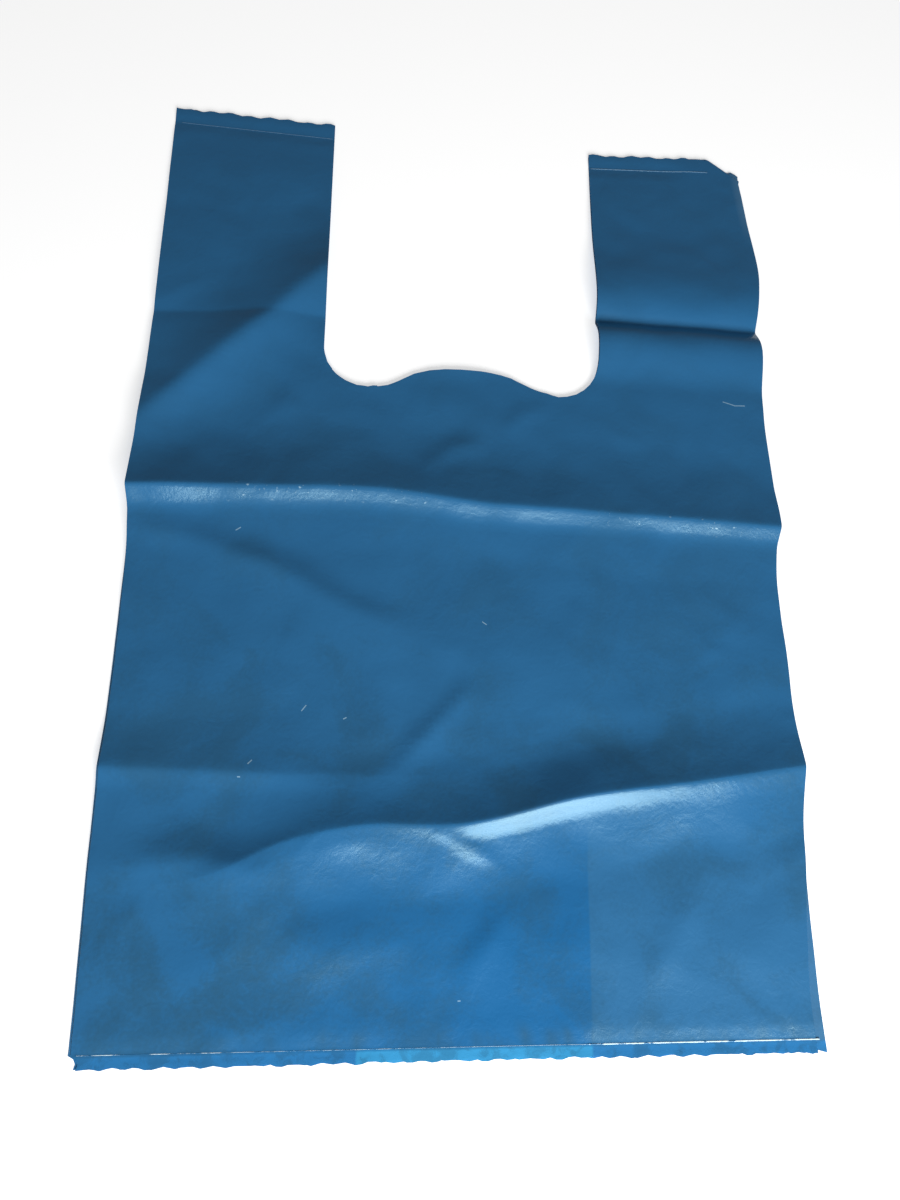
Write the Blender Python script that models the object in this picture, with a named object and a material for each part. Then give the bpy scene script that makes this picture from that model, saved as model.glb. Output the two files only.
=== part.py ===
"""Vest-type carrier bag of thin blue film, empty and lying flat on its back.

The film is one blown tube with a gusset tucked in down each side. It is welded shut across the bottom
and across the tops of the two handles, and the mouth between the handles is cut through every layer.
X runs across the bag and Y along it, with the handles at +Y. The origin is under the middle of the bag,
on the surface that it lies on. Lengths are in metres.
"""

import math
from collections import namedtuple

import bmesh
import bpy
from mathutils import Vector

# The bag as it lies flat.
BAG_WIDTH = 0.300
BAG_LENGTH = 0.440
LEFT_GUSSET_DEPTH = 0.107
RIGHT_GUSSET_DEPTH = 0.099

# The film, and the distance from the middle of one layer to the middle of the next.
FILM_THICKNESS = 0.0003
LAYER_PITCH = 0.00065
FRONT_SINK_SPAN = 0.030

# The handles and the mouth between them.
LEFT_HANDLE_WIDTH = 0.081
RIGHT_HANDLE_WIDTH = 0.0855
RIGHT_HANDLE_DROP = 0.004
MOUTH_DEPTH = 0.150
MOUTH_CORNER_RADIUS = 0.020
HUMP_RISE = 0.0113
LEFT_LOBE_FLAT = 0.008
RIGHT_LOBE_FLAT = 0.0035

# The welds, and the wavy edge that the hot knife leaves beyond them.
BOTTOM_HEM = 0.0047
HANDLE_HEM = 0.0075
WELD_WIDTH = 0.001
WAVE_PITCH = 0.010
WAVE_DEPTH = 0.001

# The right handle's outer top corner, which is turned under, and the pull that it puts on the side.
TURNED_CORNER_WIDTH = 0.022
TURNED_CORNER_HEIGHT = 0.0125
CORNER_NOTCH_WIDTH = 0.010
CORNER_NOTCH_HEIGHT = 0.0065
CORNER_TIP_WIDTH = 0.0065
CORNER_PULL = 0.004
CORNER_PULL_SPAN = 0.060

# The ends stay flat, so that the welds are straight bars.
FLAT_END = 0.014
END_RAMP = 0.030

# The creases left by folding the bag in quarters, and a loose wrinkle that runs into the lowest one.
# A line's points are (share of the half width, offset from home), and a height's are (share, height).
Crease = namedtuple("Crease", "kind home line heights reach_above reach_below")
QUARTER = BAG_LENGTH / 4.0
CREASES = (
    Crease("ridge", -QUARTER - 0.020,
           ((-1.0, -0.028), (-0.7, -0.022), (-0.5, -0.009), (-0.33, -0.004), (0.0, -0.003),
            (0.33, 0.010), (0.67, 0.0175), (1.0, 0.026)),
           ((-1.0, 0.0), (-0.7, 0.001), (-0.5, 0.004), (0.0, 0.007), (0.33, 0.008), (1.0, 0.006)),
           0.026, 0.024),
    Crease("ridge", -QUARTER + 0.012,
           ((-1.0, -0.012), (-0.3, -0.0135), (0.0, -0.012), (0.33, -0.002), (1.0, 0.010)),
           ((-1.0, 0.0045), (-0.6, 0.0035), (-0.3, 0.001), (0.0, 0.0), (1.0, 0.0)),
           0.024, 0.020),
    Crease("ridge", 0.014,
           ((-1.0, 0.003), (-0.13, 0.004), (0.0, 0.002), (1.0, -0.004)),
           ((-1.0, 0.010), (-0.6, 0.008), (0.0, 0.007), (1.0, 0.006)),
           0.030, 0.022),
    Crease("valley", QUARTER,
           ((-1.0, -0.007), (-0.46, -0.005), (0.43, 0.0035), (1.0, 0.003)),
           ((-1.0, 0.001), (-0.46, 0.001), (0.43, 0.0035), (1.0, 0.003)),
           0.036, 0.034),
)

# The slanting ridge across the left handle, from the side up to the mouth's edge. Its ends are measured
# from the mouth's lowest edge. SLANT_LINES are the shares of its reach where the film has an edge, and a
# point nearer to one than SLANT_SNAP counts as on it.
SLANT_SIDE_DROP = 0.015
SLANT_MOUTH_RISE = 0.067
SLANT_HEIGHT = 0.007
SLANT_REACH = 0.034
SLANT_RUN_OUT = 0.030
SLANT_LINES = (-0.65, -0.3, 0.0, 0.3, 0.65)
SLANT_SNAP = 0.0008

# How finely the film is divided.
STATION_SPACING = 0.022
ROW_SPACING = 0.022
ROW_GAP_MIN = 0.0035
ROW_SHARES = (-1.0, -0.55, -0.25, 0.0, 0.25, 0.55, 1.0)
FOLD_SEGMENTS = 3
ARC_STEP = math.radians(15.0)
HUMP_SEGMENTS = 10
WAVE_SEGMENTS = 3

# How far cutters and spare film run past the bag.
SPARE_FILM = 0.004
CUTTER_MARGIN = 0.015
CUTTER_TOP = 0.040

# Edges and levels worked out from the sizes above.
FOLD_RADIUS = LAYER_PITCH / 2.0
LAYER_Z = [FILM_THICKNESS / 2.0 + layer * LAYER_PITCH for layer in range(4)]
SIDE_X = BAG_WIDTH / 2.0 - FILM_THICKNESS / 2.0 - FOLD_RADIUS
LEFT_FOLD_X = -BAG_WIDTH / 2.0 + LEFT_GUSSET_DEPTH - FOLD_RADIUS
RIGHT_FOLD_X = BAG_WIDTH / 2.0 - RIGHT_GUSSET_DEPTH + FOLD_RADIUS
TOP_Y = BAG_LENGTH / 2.0
RIGHT_TOP_Y = TOP_Y - RIGHT_HANDLE_DROP
MOUTH_LEFT_X = -BAG_WIDTH / 2.0 + LEFT_HANDLE_WIDTH
MOUTH_RIGHT_X = BAG_WIDTH / 2.0 - RIGHT_HANDLE_WIDTH
LOBE_Y = TOP_Y - MOUTH_DEPTH
SLANT_START = (-BAG_WIDTH / 2.0, LOBE_Y - SLANT_SIDE_DROP)
SLANT_END = (MOUTH_LEFT_X, LOBE_Y + SLANT_MOUTH_RISE)

FILM_COLOUR = (0.021, 0.147, 0.402, 1.0)
FILM_ROUGHNESS = 0.38


def smooth(share):
    """Ease a share between 0 and 1, level at both ends."""
    share = min(max(share, 0.0), 1.0)
    return share * share * (3.0 - 2.0 * share)


def along(points, share):
    """Read the value at a share of the half width from a line of (share, value) points."""
    for (start, low), (end, high) in zip(points, points[1:]):
        if share <= end:
            part = min(max((share - start) / (end - start), 0.0), 1.0)
            return low + (high - low) * part
    return points[-1][1]


def crease_profile(kind, share):
    """Height of a crease at a share of its reach: a ridge is sharp at its line, a valley dips there."""
    share = min(abs(share), 1.0)
    if kind == "ridge":
        return (1.0 - share) ** 2
    return 6.75 * share * (1.0 - share) ** 2


def slant_height(x, y):
    """Height of the slanting ridge on the left handle, which fades where it runs past the mouth's edge."""
    start = Vector(SLANT_START)
    run = Vector(SLANT_END) - start
    away = Vector((x, y)) - start
    distance = away.cross(run) / run.length
    passed = away.dot(run) / run.length - run.length
    fade = 1.0 - smooth(passed / SLANT_RUN_OUT)
    return SLANT_HEIGHT * fade * crease_profile("ridge", distance / SLANT_REACH)


def lift(x, y):
    """How far every layer of film is lifted off the surface at a place in plan."""
    share = 2.0 * x / BAG_WIDTH
    height = slant_height(x, y)
    for crease in CREASES:
        distance = y - crease.home - along(crease.line, share)
        reach = crease.reach_above if distance > 0.0 else crease.reach_below
        height += along(crease.heights, share) * crease_profile(crease.kind, distance / reach)
    to_end = min(TOP_Y - y, TOP_Y + y) - FLAT_END
    return height * smooth(to_end / END_RAMP)


def front_z(x):
    """Middle of the front layer, which sinks towards the back between the two gussets."""
    inside = min(x - LEFT_FOLD_X, RIGHT_FOLD_X - x)
    return LAYER_Z[3] - (LAYER_Z[3] - LAYER_Z[1]) * smooth(inside / FRONT_SINK_SPAN)


def divide(start, end, spacing):
    """Even steps from start to end, both included, no wider than the spacing."""
    count = max(1, math.ceil((end - start) / spacing))
    return [start + (end - start) * step / count for step in range(count + 1)]


def left_stations():
    """Places across the left gusset where its layers have a point."""
    return divide(-SIDE_X, LEFT_FOLD_X, STATION_SPACING)


def right_stations():
    """Places across the right gusset where its layers have a point."""
    return divide(RIGHT_FOLD_X, SIDE_X, STATION_SPACING)


def stations():
    """Places across the bag where every layer has a point, so that the layers bend alike."""
    middle = divide(LEFT_FOLD_X, RIGHT_FOLD_X, STATION_SPACING)
    return left_stations() + middle[1:-1] + right_stations()


def rows():
    """Places along the bag where the film has a row of points, close together at the creases."""
    homes = [crease.home for crease in CREASES]
    places = [-TOP_Y - SPARE_FILM, -TOP_Y + FLAT_END, TOP_Y - FLAT_END, TOP_Y + SPARE_FILM]
    for crease in CREASES:
        for share in ROW_SHARES:
            reach = crease.reach_above if share > 0.0 else crease.reach_below
            places.append(crease.home + share * reach)
    kept = []
    for place in sorted(places):
        if kept and place - kept[-1] < ROW_GAP_MIN:
            if kept[-1] in homes:
                continue
            kept.pop()
        kept.append(place)
    filled = []
    for start, end in zip(kept, kept[1:]):
        filled += divide(start, end, ROW_SPACING)[:-1]
    return filled + [kept[-1]]


def fold(centre_x, lower, direction):
    """Points between the ends of a half-round fold, from the lower of two layers to the next one up."""
    centre_z = (LAYER_Z[lower] + LAYER_Z[lower + 1]) / 2.0
    points = []
    for step in range(1, FOLD_SEGMENTS):
        angle = math.pi * step / FOLD_SEGMENTS - math.pi / 2.0
        points.append((centre_x + direction * FOLD_RADIUS * math.cos(angle),
                       centre_z + FOLD_RADIUS * math.sin(angle)))
    return points


def bag_section():
    """The film's middle line across the bag: back, right gusset, front and left gusset, as one loop."""
    across = stations()
    left = left_stations()
    right = right_stations()
    section = [(x, LAYER_Z[0]) for x in across]
    section += fold(SIDE_X, 0, 1.0)
    section += [(x, LAYER_Z[1]) for x in reversed(right)]
    section += fold(RIGHT_FOLD_X, 1, -1.0)
    section += [(x, LAYER_Z[2]) for x in right]
    section += fold(SIDE_X, 2, 1.0)
    section += [(x, front_z(x)) for x in reversed(across)]
    section += reversed(fold(-SIDE_X, 2, -1.0))
    section += [(x, LAYER_Z[2]) for x in left]
    section += reversed(fold(LEFT_FOLD_X, 1, 1.0))
    section += [(x, LAYER_Z[1]) for x in reversed(left)]
    section += reversed(fold(-SIDE_X, 0, -1.0))
    return section


def offset_loop(section, distance):
    """A loop that runs beside the section's, at a distance to its right."""
    beside = []
    for before, point, after in zip(section[-1:] + section[:-1], section, section[1:] + section[:1]):
        here = Vector(point)
        normals = []
        for start, end in ((Vector(before), here), (here, Vector(after))):
            way = (end - start).normalized()
            normals.append(Vector((way.y, -way.x)))
        middle = (normals[0] + normals[1]).normalized()
        beside.append(here + middle * (distance / middle.dot(normals[0])))
    return beside


def follow_creases(x, y):
    """Move a straight row's point along the bag, so that the rows run with the creases."""
    share = 2.0 * x / BAG_WIDTH
    shifts = [(-TOP_Y + FLAT_END, 0.0)]
    shifts += [(crease.home, along(crease.line, share)) for crease in CREASES]
    shifts += [(TOP_Y - FLAT_END, 0.0)]
    if y <= shifts[0][0] or y >= shifts[-1][0]:
        return y
    return y + along(shifts, y)


def pull_side(x, y):
    """Move a point of the right handle inwards near its turned corner."""
    if x <= MOUTH_RIGHT_X:
        return x
    nearness = smooth((y - TOP_Y + CORNER_PULL_SPAN) / CORNER_PULL_SPAN)
    return x - CORNER_PULL * nearness * (x - MOUTH_RIGHT_X) / RIGHT_HANDLE_WIDTH


def split_cells(bm):
    """Cut every four-sided cell along the same diagonal in plan, whatever layer it is in."""
    for face in list(bm.faces):
        if len(face.verts) == 4:
            corners = sorted(face.verts, key=lambda vert: vert.co.x + vert.co.y)
            near = corners[0]
            far = [loop.link_loop_next.link_loop_next.vert for loop in face.loops if loop.vert == near][0]
            bmesh.utils.face_split(face, near, far)


def add_slant_lines(bm):
    """Give the left handle edges along its slanting ridge, at the same places in all four layers."""
    run = Vector(SLANT_END) - Vector(SLANT_START)
    across = Vector((-run.y, run.x, 0.0)).normalized()
    for share in SLANT_LINES:
        start = Vector((*SLANT_START, 0.0)) + across * share * SLANT_REACH
        faces = [face for face in bm.faces if is_on_slant(face.calc_center_median())]
        edges = list(dict.fromkeys(edge for face in faces for edge in face.edges))
        verts = list(dict.fromkeys(vert for face in faces for vert in face.verts))
        bmesh.ops.bisect_plane(bm, geom=faces + edges + verts, dist=SLANT_SNAP,
                               plane_co=start, plane_no=across)
    bmesh.ops.triangulate(bm, faces=bm.faces[:], quad_method="SHORT_EDGE", ngon_method="BEAUTY")


def is_on_slant(place):
    """Whether a place lies where the slanting ridge has a height worth an edge."""
    low_y = SLANT_START[1] - SLANT_REACH
    high_y = SLANT_END[1] + SLANT_REACH + SLANT_RUN_OUT
    return place.x < LEFT_FOLD_X and low_y < place.y < high_y


def make_film(name):
    """The gusseted tube of film: its walled section extruded along the bag row by row, then creased."""
    bm = bmesh.new()
    places = rows()
    section = bag_section()
    outer = [bm.verts.new((x, places[0], z)) for x, z in offset_loop(section, FILM_THICKNESS / 2.0)]
    inner = [bm.verts.new((x, places[0], z)) for x, z in offset_loop(section, -FILM_THICKNESS / 2.0)]
    end_faces = []
    for index in range(len(section)):
        end_faces.append(bm.faces.new((outer[index - 1], outer[index], inner[index], inner[index - 1])))
    for start, end in zip(places, places[1:]):
        grown = bmesh.ops.extrude_face_region(bm, geom=end_faces)["geom"]
        new_verts = [item for item in grown if isinstance(item, bmesh.types.BMVert)]
        if start != places[0]:
            bmesh.ops.delete(bm, geom=end_faces, context="FACES_ONLY")
        end_faces = [item for item in grown if isinstance(item, bmesh.types.BMFace)]
        bmesh.ops.translate(bm, verts=new_verts, vec=(0.0, end - start, 0.0))
    for vert in bm.verts:
        vert.co.y = follow_creases(vert.co.x, vert.co.y)
    split_cells(bm)
    add_slant_lines(bm)
    for vert in bm.verts:
        vert.co.z += lift(vert.co.x, vert.co.y)
        vert.co.x = pull_side(vert.co.x, vert.co.y)
    bmesh.ops.recalc_face_normals(bm, faces=bm.faces[:])
    return make_object(name, bm)


def add_prism(bm, outline, axis, low, high):
    """Add a closed prism: an outline of (x, other) points pushed along Y or Z from low to high."""
    if axis == "Y":
        verts = [bm.verts.new((x, low, z)) for x, z in outline]
        push = (0.0, high - low, 0.0)
    else:
        verts = [bm.verts.new((x, y, low)) for x, y in outline]
        push = (0.0, 0.0, high - low)
    base = bm.faces.new(verts)
    grown = bmesh.ops.extrude_face_region(bm, geom=[base])["geom"]
    top = [item for item in grown if isinstance(item, bmesh.types.BMVert)]
    bmesh.ops.translate(bm, verts=top, vec=push)
    bmesh.ops.recalc_face_normals(bm, faces=bm.faces[:])


def add_weld(bm, start_x, end_x, y):
    """Add one weld: a bar from the middle of the back layer to the middle of the front one."""
    across = [start_x] + [x for x in stations() if start_x < x < end_x] + [end_x]
    outline = [(x, LAYER_Z[0]) for x in across] + [(x, front_z(x)) for x in reversed(across)]
    add_prism(bm, outline, "Y", y - WELD_WIDTH / 2.0, y + WELD_WIDTH / 2.0)


def make_welds(name):
    """The weld across the bottom, and one near the top of each handle."""
    bm = bmesh.new()
    middle = stations()[len(stations()) // 2]
    gap = CUTTER_MARGIN
    add_weld(bm, -SIDE_X, SIDE_X, -TOP_Y + BOTTOM_HEM)
    add_weld(bm, -SIDE_X, middle - gap, TOP_Y - HANDLE_HEM)
    add_weld(bm, middle + gap, SIDE_X - CORNER_PULL, RIGHT_TOP_Y - HANDLE_HEM)
    return make_object(name, bm)


def arc(centre, radius, start, end, steps):
    """Points on an arc, both ends included, with angles in radians."""
    angles = [start + (end - start) * step / steps for step in range(steps + 1)]
    return [(centre[0] + radius * math.cos(angle), centre[1] + radius * math.sin(angle)) for angle in angles]


def mouth_outline():
    """The mouth's edge: down the left handle, round a lobe, over the hump, round a lobe and up."""
    beyond_y = TOP_Y + CUTTER_MARGIN
    corner_steps = max(2, round(math.pi / 2.0 / ARC_STEP))
    corner_y = LOBE_Y + MOUTH_CORNER_RADIUS
    left_centre = (MOUTH_LEFT_X + MOUTH_CORNER_RADIUS, corner_y)
    right_centre = (MOUTH_RIGHT_X - MOUTH_CORNER_RADIUS, corner_y)
    hump_left = left_centre[0] + LEFT_LOBE_FLAT
    hump_right = right_centre[0] - RIGHT_LOBE_FLAT
    half_chord = (hump_right - hump_left) / 2.0
    hump_radius = (half_chord ** 2 + HUMP_RISE ** 2) / (2.0 * HUMP_RISE)
    hump_centre = ((hump_left + hump_right) / 2.0, LOBE_Y + HUMP_RISE - hump_radius)
    spread = math.asin(half_chord / hump_radius)
    outline = [(MOUTH_LEFT_X, beyond_y)]
    outline += arc(left_centre, MOUTH_CORNER_RADIUS, math.pi, 1.5 * math.pi, corner_steps)
    outline += arc(hump_centre, hump_radius, math.pi / 2.0 + spread, math.pi / 2.0 - spread, HUMP_SEGMENTS)
    outline += arc(right_centre, MOUTH_CORNER_RADIUS, -math.pi / 2.0, 0.0, corner_steps)
    outline += [(MOUTH_RIGHT_X, beyond_y)]
    return outline


def make_mouth_cutter(name):
    """The die that cuts the mouth through all the layers."""
    bm = bmesh.new()
    add_prism(bm, mouth_outline(), "Z", -CUTTER_MARGIN, CUTTER_TOP)
    return make_object(name, bm)


def wavy_line(start_x, end_x, y):
    """The hot knife's wavy edge, as points from one x to another."""
    steps = max(2, round((end_x - start_x) / WAVE_PITCH * WAVE_SEGMENTS))
    points = []
    for step in range(steps + 1):
        x = start_x + (end_x - start_x) * step / steps
        points.append((x, y + WAVE_DEPTH / 2.0 * math.cos(2.0 * math.pi * x / WAVE_PITCH)))
    return points


def make_trim_cutter(name):
    """The trims along the bottom and the handles' tops, the last with the turned corner's outline."""
    bm = bmesh.new()
    outside_x = BAG_WIDTH / 2.0 + CUTTER_MARGIN
    outside_y = TOP_Y + CUTTER_MARGIN
    edge_x = BAG_WIDTH / 2.0
    bottom = wavy_line(-outside_x, outside_x, -TOP_Y + WAVE_DEPTH / 2.0)
    bottom += [(outside_x, -outside_y), (-outside_x, -outside_y)]
    left = wavy_line(-outside_x, MOUTH_LEFT_X + CUTTER_MARGIN, TOP_Y - WAVE_DEPTH / 2.0)
    left += [(MOUTH_LEFT_X + CUTTER_MARGIN, outside_y), (-outside_x, outside_y)]
    right = wavy_line(MOUTH_RIGHT_X - CUTTER_MARGIN, edge_x - TURNED_CORNER_WIDTH,
                      RIGHT_TOP_Y - WAVE_DEPTH / 2.0)
    right += [(edge_x - CORNER_NOTCH_WIDTH, RIGHT_TOP_Y - CORNER_NOTCH_HEIGHT),
              (edge_x - CORNER_TIP_WIDTH, RIGHT_TOP_Y - CORNER_NOTCH_HEIGHT),
              (edge_x - CORNER_PULL, RIGHT_TOP_Y - TURNED_CORNER_HEIGHT),
              (outside_x, RIGHT_TOP_Y - TURNED_CORNER_HEIGHT),
              (outside_x, outside_y), (MOUTH_RIGHT_X - CUTTER_MARGIN, outside_y)]
    for outline in (bottom, left, right):
        add_prism(bm, outline, "Z", -CUTTER_MARGIN, CUTTER_TOP)
    return make_object(name, bm)


def make_object(name, bm):
    """Put a mesh into the scene as an object and free its working copy."""
    mesh = bpy.data.meshes.new(name)
    bm.to_mesh(mesh)
    bm.free()
    item = bpy.data.objects.new(name, mesh)
    bpy.context.scene.collection.objects.link(item)
    return item


def film_material():
    """Blue film with a soft waxy gloss."""
    material = bpy.data.materials.new("blue_film")
    material.use_nodes = True
    shader = material.node_tree.nodes["Principled BSDF"]
    shader.inputs["Base Color"].default_value = FILM_COLOUR
    shader.inputs["Roughness"].default_value = FILM_ROUGHNESS
    shader.inputs["Metallic"].default_value = 0.0
    return material


def add_boolean(item, tool, operation):
    """Join a helper to the bag or cut with it, and keep the helper out of the model."""
    boolean = item.modifiers.new(tool.name, "BOOLEAN")
    boolean.object = tool
    boolean.operation = operation
    boolean.solver = "EXACT"
    tool.hide_render = True
    tool.display_type = "WIRE"


def make_bag():
    """The whole bag: creased tube, welds, mouth and trimmed ends."""
    bag = make_film("carrier_bag")
    add_boolean(bag, make_welds("welds"), "UNION")
    add_boolean(bag, make_mouth_cutter("mouth_die"), "DIFFERENCE")
    add_boolean(bag, make_trim_cutter("hot_knife"), "DIFFERENCE")
    bag.data.materials.append(film_material())
    bag.data.shade_smooth()
    bag.data.set_sharp_from_angle(angle=math.radians(30.0))
    return bag


def main():
    """Clear the scene and model the bag."""
    for item in list(bpy.data.objects):
        bpy.data.objects.remove(item, do_unlink=True)
    make_bag()


main()
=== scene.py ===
"""Looks of an empty vest-type carrier bag of thin blue film, lying flat on its back.

The film is one gusseted tube, welded across the bottom and across the tops of the two handles. It is made
here as one thin sheet with its creases, wrinkles, hems and turned corner, and takes the place of the plain
solid. X runs across the bag and Y along it, with the handles at +Y. Lengths are in metres.
"""

import math
import random
from collections import namedtuple

import bmesh
import bpy
import numpy as np
from bpy.props import FloatProperty, FloatVectorProperty, PointerProperty
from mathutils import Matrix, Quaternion, Vector, noise


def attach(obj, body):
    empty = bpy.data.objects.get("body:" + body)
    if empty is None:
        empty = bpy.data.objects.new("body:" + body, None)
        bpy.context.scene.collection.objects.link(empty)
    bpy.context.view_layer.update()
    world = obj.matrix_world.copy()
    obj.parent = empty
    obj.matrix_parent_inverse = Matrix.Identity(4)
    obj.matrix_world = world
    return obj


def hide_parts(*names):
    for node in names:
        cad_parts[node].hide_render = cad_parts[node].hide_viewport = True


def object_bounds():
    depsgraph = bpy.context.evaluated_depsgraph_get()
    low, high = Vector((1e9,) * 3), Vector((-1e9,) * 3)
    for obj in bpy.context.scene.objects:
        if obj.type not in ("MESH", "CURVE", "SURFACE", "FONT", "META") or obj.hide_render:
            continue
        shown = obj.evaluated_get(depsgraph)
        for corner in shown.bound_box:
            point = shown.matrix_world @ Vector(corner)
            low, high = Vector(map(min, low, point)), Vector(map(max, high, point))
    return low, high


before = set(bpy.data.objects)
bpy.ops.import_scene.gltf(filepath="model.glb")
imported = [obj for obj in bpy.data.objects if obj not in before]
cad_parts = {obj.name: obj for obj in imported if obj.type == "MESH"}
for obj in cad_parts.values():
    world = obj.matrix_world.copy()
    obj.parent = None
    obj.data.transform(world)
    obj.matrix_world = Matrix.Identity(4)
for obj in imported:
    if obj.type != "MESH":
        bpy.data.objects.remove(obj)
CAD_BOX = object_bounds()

bl_info = {
    "name": "Carrier Bag",
    "version": (1, 0, 0),
    "blender": (4, 5, 0),
    "location": "View3D > Sidebar > Carrier Bag",
    "description": "Makes a creased carrier bag of thin film and the studio that shows it",
    "category": "Object",
}

NODE = "carrier_bag"

# The bag's outline comes from the frame.
WIDTH = CAD_BOX[1].x - CAD_BOX[0].x
LENGTH = CAD_BOX[1].y - CAD_BOX[0].y
HALF = WIDTH / 2.0
TOP = LENGTH / 2.0
QUARTER = LENGTH / 4.0

# Layers of film, from the back panel up to the front one. Between them lie the two leaves of a gusset.
BACK, LOWER_LEAF, UPPER_LEAF, FRONT = 0, 1, 2, 3

# How finely the film is divided across and along the bag, and close to a crease.
ACROSS_STEP = 0.0025
ALONG_STEP = 0.0030
CREASE_STEPS = (0.0007, 0.0016, 0.0028, 0.0044, 0.0064, 0.0088)
FOLD_STEPS = 4
MERGE_GAP = 0.0006
SNAP_GAP = 0.000001

# Folds left by folding the bag in quarters. A line's points are (share of the half width, offset from its
# home along the bag), and a height's points are (share of the half width, height). Above is how far a crease
# reaches towards the handles, and below towards the bottom. Crest is how softly it turns at its line. A
# ridge's steep near side is its facet, which falls by the given shares of the height within the facet's
# width. It is flat where the bend is 1, and steepest at the crest where the bend is more. A valley lies
# between two low swells that have its height, and has no facet.
Crease = namedtuple("Crease", "kind home line heights above below crest facet shares bend")
CREASES = (
    Crease("ridge", -QUARTER - 0.020,
           ((-1.0, -0.028), (-0.7, -0.022), (-0.5, -0.009), (-0.33, -0.003), (0.0, -0.001),
            (0.33, 0.0105), (0.67, 0.0175), (1.0, 0.025)),
           ((-1.0, 0.0), (-0.7, 0.0022), (-0.5, 0.0060), (-0.33, 0.0074), (0.0, 0.0080), (0.33, 0.0083),
            (1.0, 0.006)),
           0.030, 0.031, 0.0008, 0.0060,
           ((-1.0, 0.0), (-0.10, 0.04), (0.05, 0.24), (0.33, 0.25), (0.48, 0.13), (0.62, 0.06),
            (1.0, 0.04)), 1.0),
    Crease("ridge", -QUARTER + 0.012,
           ((-1.0, -0.012), (-0.3, -0.0135), (0.0, -0.012), (0.33, -0.002), (1.0, 0.010)),
           ((-1.0, 0.0038), (-0.6, 0.0032), (-0.3, 0.0014), (0.0, 0.0), (1.0, 0.0)),
           0.024, 0.024, 0.0020, 0.0070, ((-1.0, 0.3), (1.0, 0.3)), 1.5),
    Crease("ridge", 0.014,
           ((-1.0, -0.0028), (-0.67, -0.0002), (-0.15, 0.0003), (0.0, -0.0025), (0.33, -0.0044),
            (0.67, -0.0062), (1.0, -0.0080)),
           ((-1.0, 0.010), (-0.6, 0.008), (0.0, 0.007), (1.0, 0.006)),
           0.036, 0.028, 0.0010, 0.0078,
           ((-1.0, 0.46), (-0.5, 0.51), (0.0, 0.46), (0.4, 0.48), (1.0, 0.54)), 1.15),
    Crease("valley", QUARTER,
           ((-1.0, -0.007), (-0.46, -0.005), (0.43, 0.0030), (1.0, 0.0025)),
           ((-1.0, 0.001), (-0.46, 0.001), (0.43, 0.0055), (1.0, 0.0048)),
           0.080, 0.034, 0.0012, 0.0, ((-1.0, 0.0), (1.0, 0.0)), 1.0),
)

# A valley's swells, far and near, are scaled so that their tops have its height. The powers give their
# tails, and those of a ridge's two sides.
FAR_SWELL, FAR_SWELL_POWER = 12.2, 4
NEAR_SWELL, NEAR_SWELL_POWER = 6.75, 2
FAR_SIDE_POWER, NEAR_SIDE_POWER = 1.7, 1.4

# The film has no creases up to the first distance from either end, and has them in full from the second.
FLAT_END, FULL_CREASES = 0.014, 0.044

# The sharpest crests get painted glints, most of all where a crease has its full height.
GLINT_CREST = 0.0012
FULL_GLINT_CREASE = 0.008

# Loose wrinkles. Left and right are how far the film falls away on each side, looking along the points.
Wrinkle = namedtuple("Wrinkle", "points height left right crest")
WRINKLES = (
    Wrinkle(((-0.197, 0.001), (-0.147, 0.050), (-0.107, 0.090), (-0.066, 0.1325), (-0.017, 0.183)),
            0.0070, 0.034, 0.026, 0.0022),
    Wrinkle(((-0.165, -0.002), (-0.120, -0.011), (-0.090, -0.020), (-0.060, -0.035), (-0.022, -0.051)),
            0.0024, 0.012, 0.022, 0.0018),
    Wrinkle(((0.004, -0.070), (-0.018, -0.095), (-0.034, -0.112)), 0.0018, 0.012, 0.008, 0.0010),
    Wrinkle(((-0.150, -0.150), (-0.110, -0.145), (-0.075, -0.152)), 0.0016, 0.012, 0.014, 0.0020),
    Wrinkle(((-0.014, -0.134), (0.002, -0.142), (0.016, -0.149)), 0.0010, 0.006, 0.004, 0.0006),
    Wrinkle(((-0.120, -0.196), (-0.095, -0.180), (-0.075, -0.160)), 0.0006, 0.014, 0.014, 0.0025),
    Wrinkle(((-0.075, -0.214), (-0.060, -0.190), (-0.035, -0.170)), 0.0006, 0.012, 0.014, 0.0030),
    Wrinkle(((-0.150, -0.133), (-0.110, -0.148), (-0.070, -0.176), (-0.045, -0.205)),
            0.0022, 0.030, 0.020, 0.0050),
    Wrinkle(((0.062, -0.214), (0.085, -0.180), (0.100, -0.150)), 0.0011, 0.012, 0.012, 0.0030),
    Wrinkle(((-0.005, -0.214), (0.004, -0.185), (0.022, -0.160)), 0.0012, 0.010, 0.014, 0.0020),
    Wrinkle(((-0.068, -0.144), (-0.066, -0.139), (-0.062, -0.136)), 0.0004, 0.002, 0.003, 0.0004),
    Wrinkle(((-0.044, -0.141), (-0.030, -0.143), (-0.016, -0.140)), 0.0002, 0.004, 0.003, 0.0005),
    Wrinkle(((-0.022, 0.028), (-0.006, 0.040), (0.010, 0.044)), 0.0012, 0.010, 0.007, 0.0015),
    Wrinkle(((0.018, 0.050), (0.028, 0.060), (0.040, 0.064)), 0.0010, 0.009, 0.007, 0.0015),
)

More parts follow.
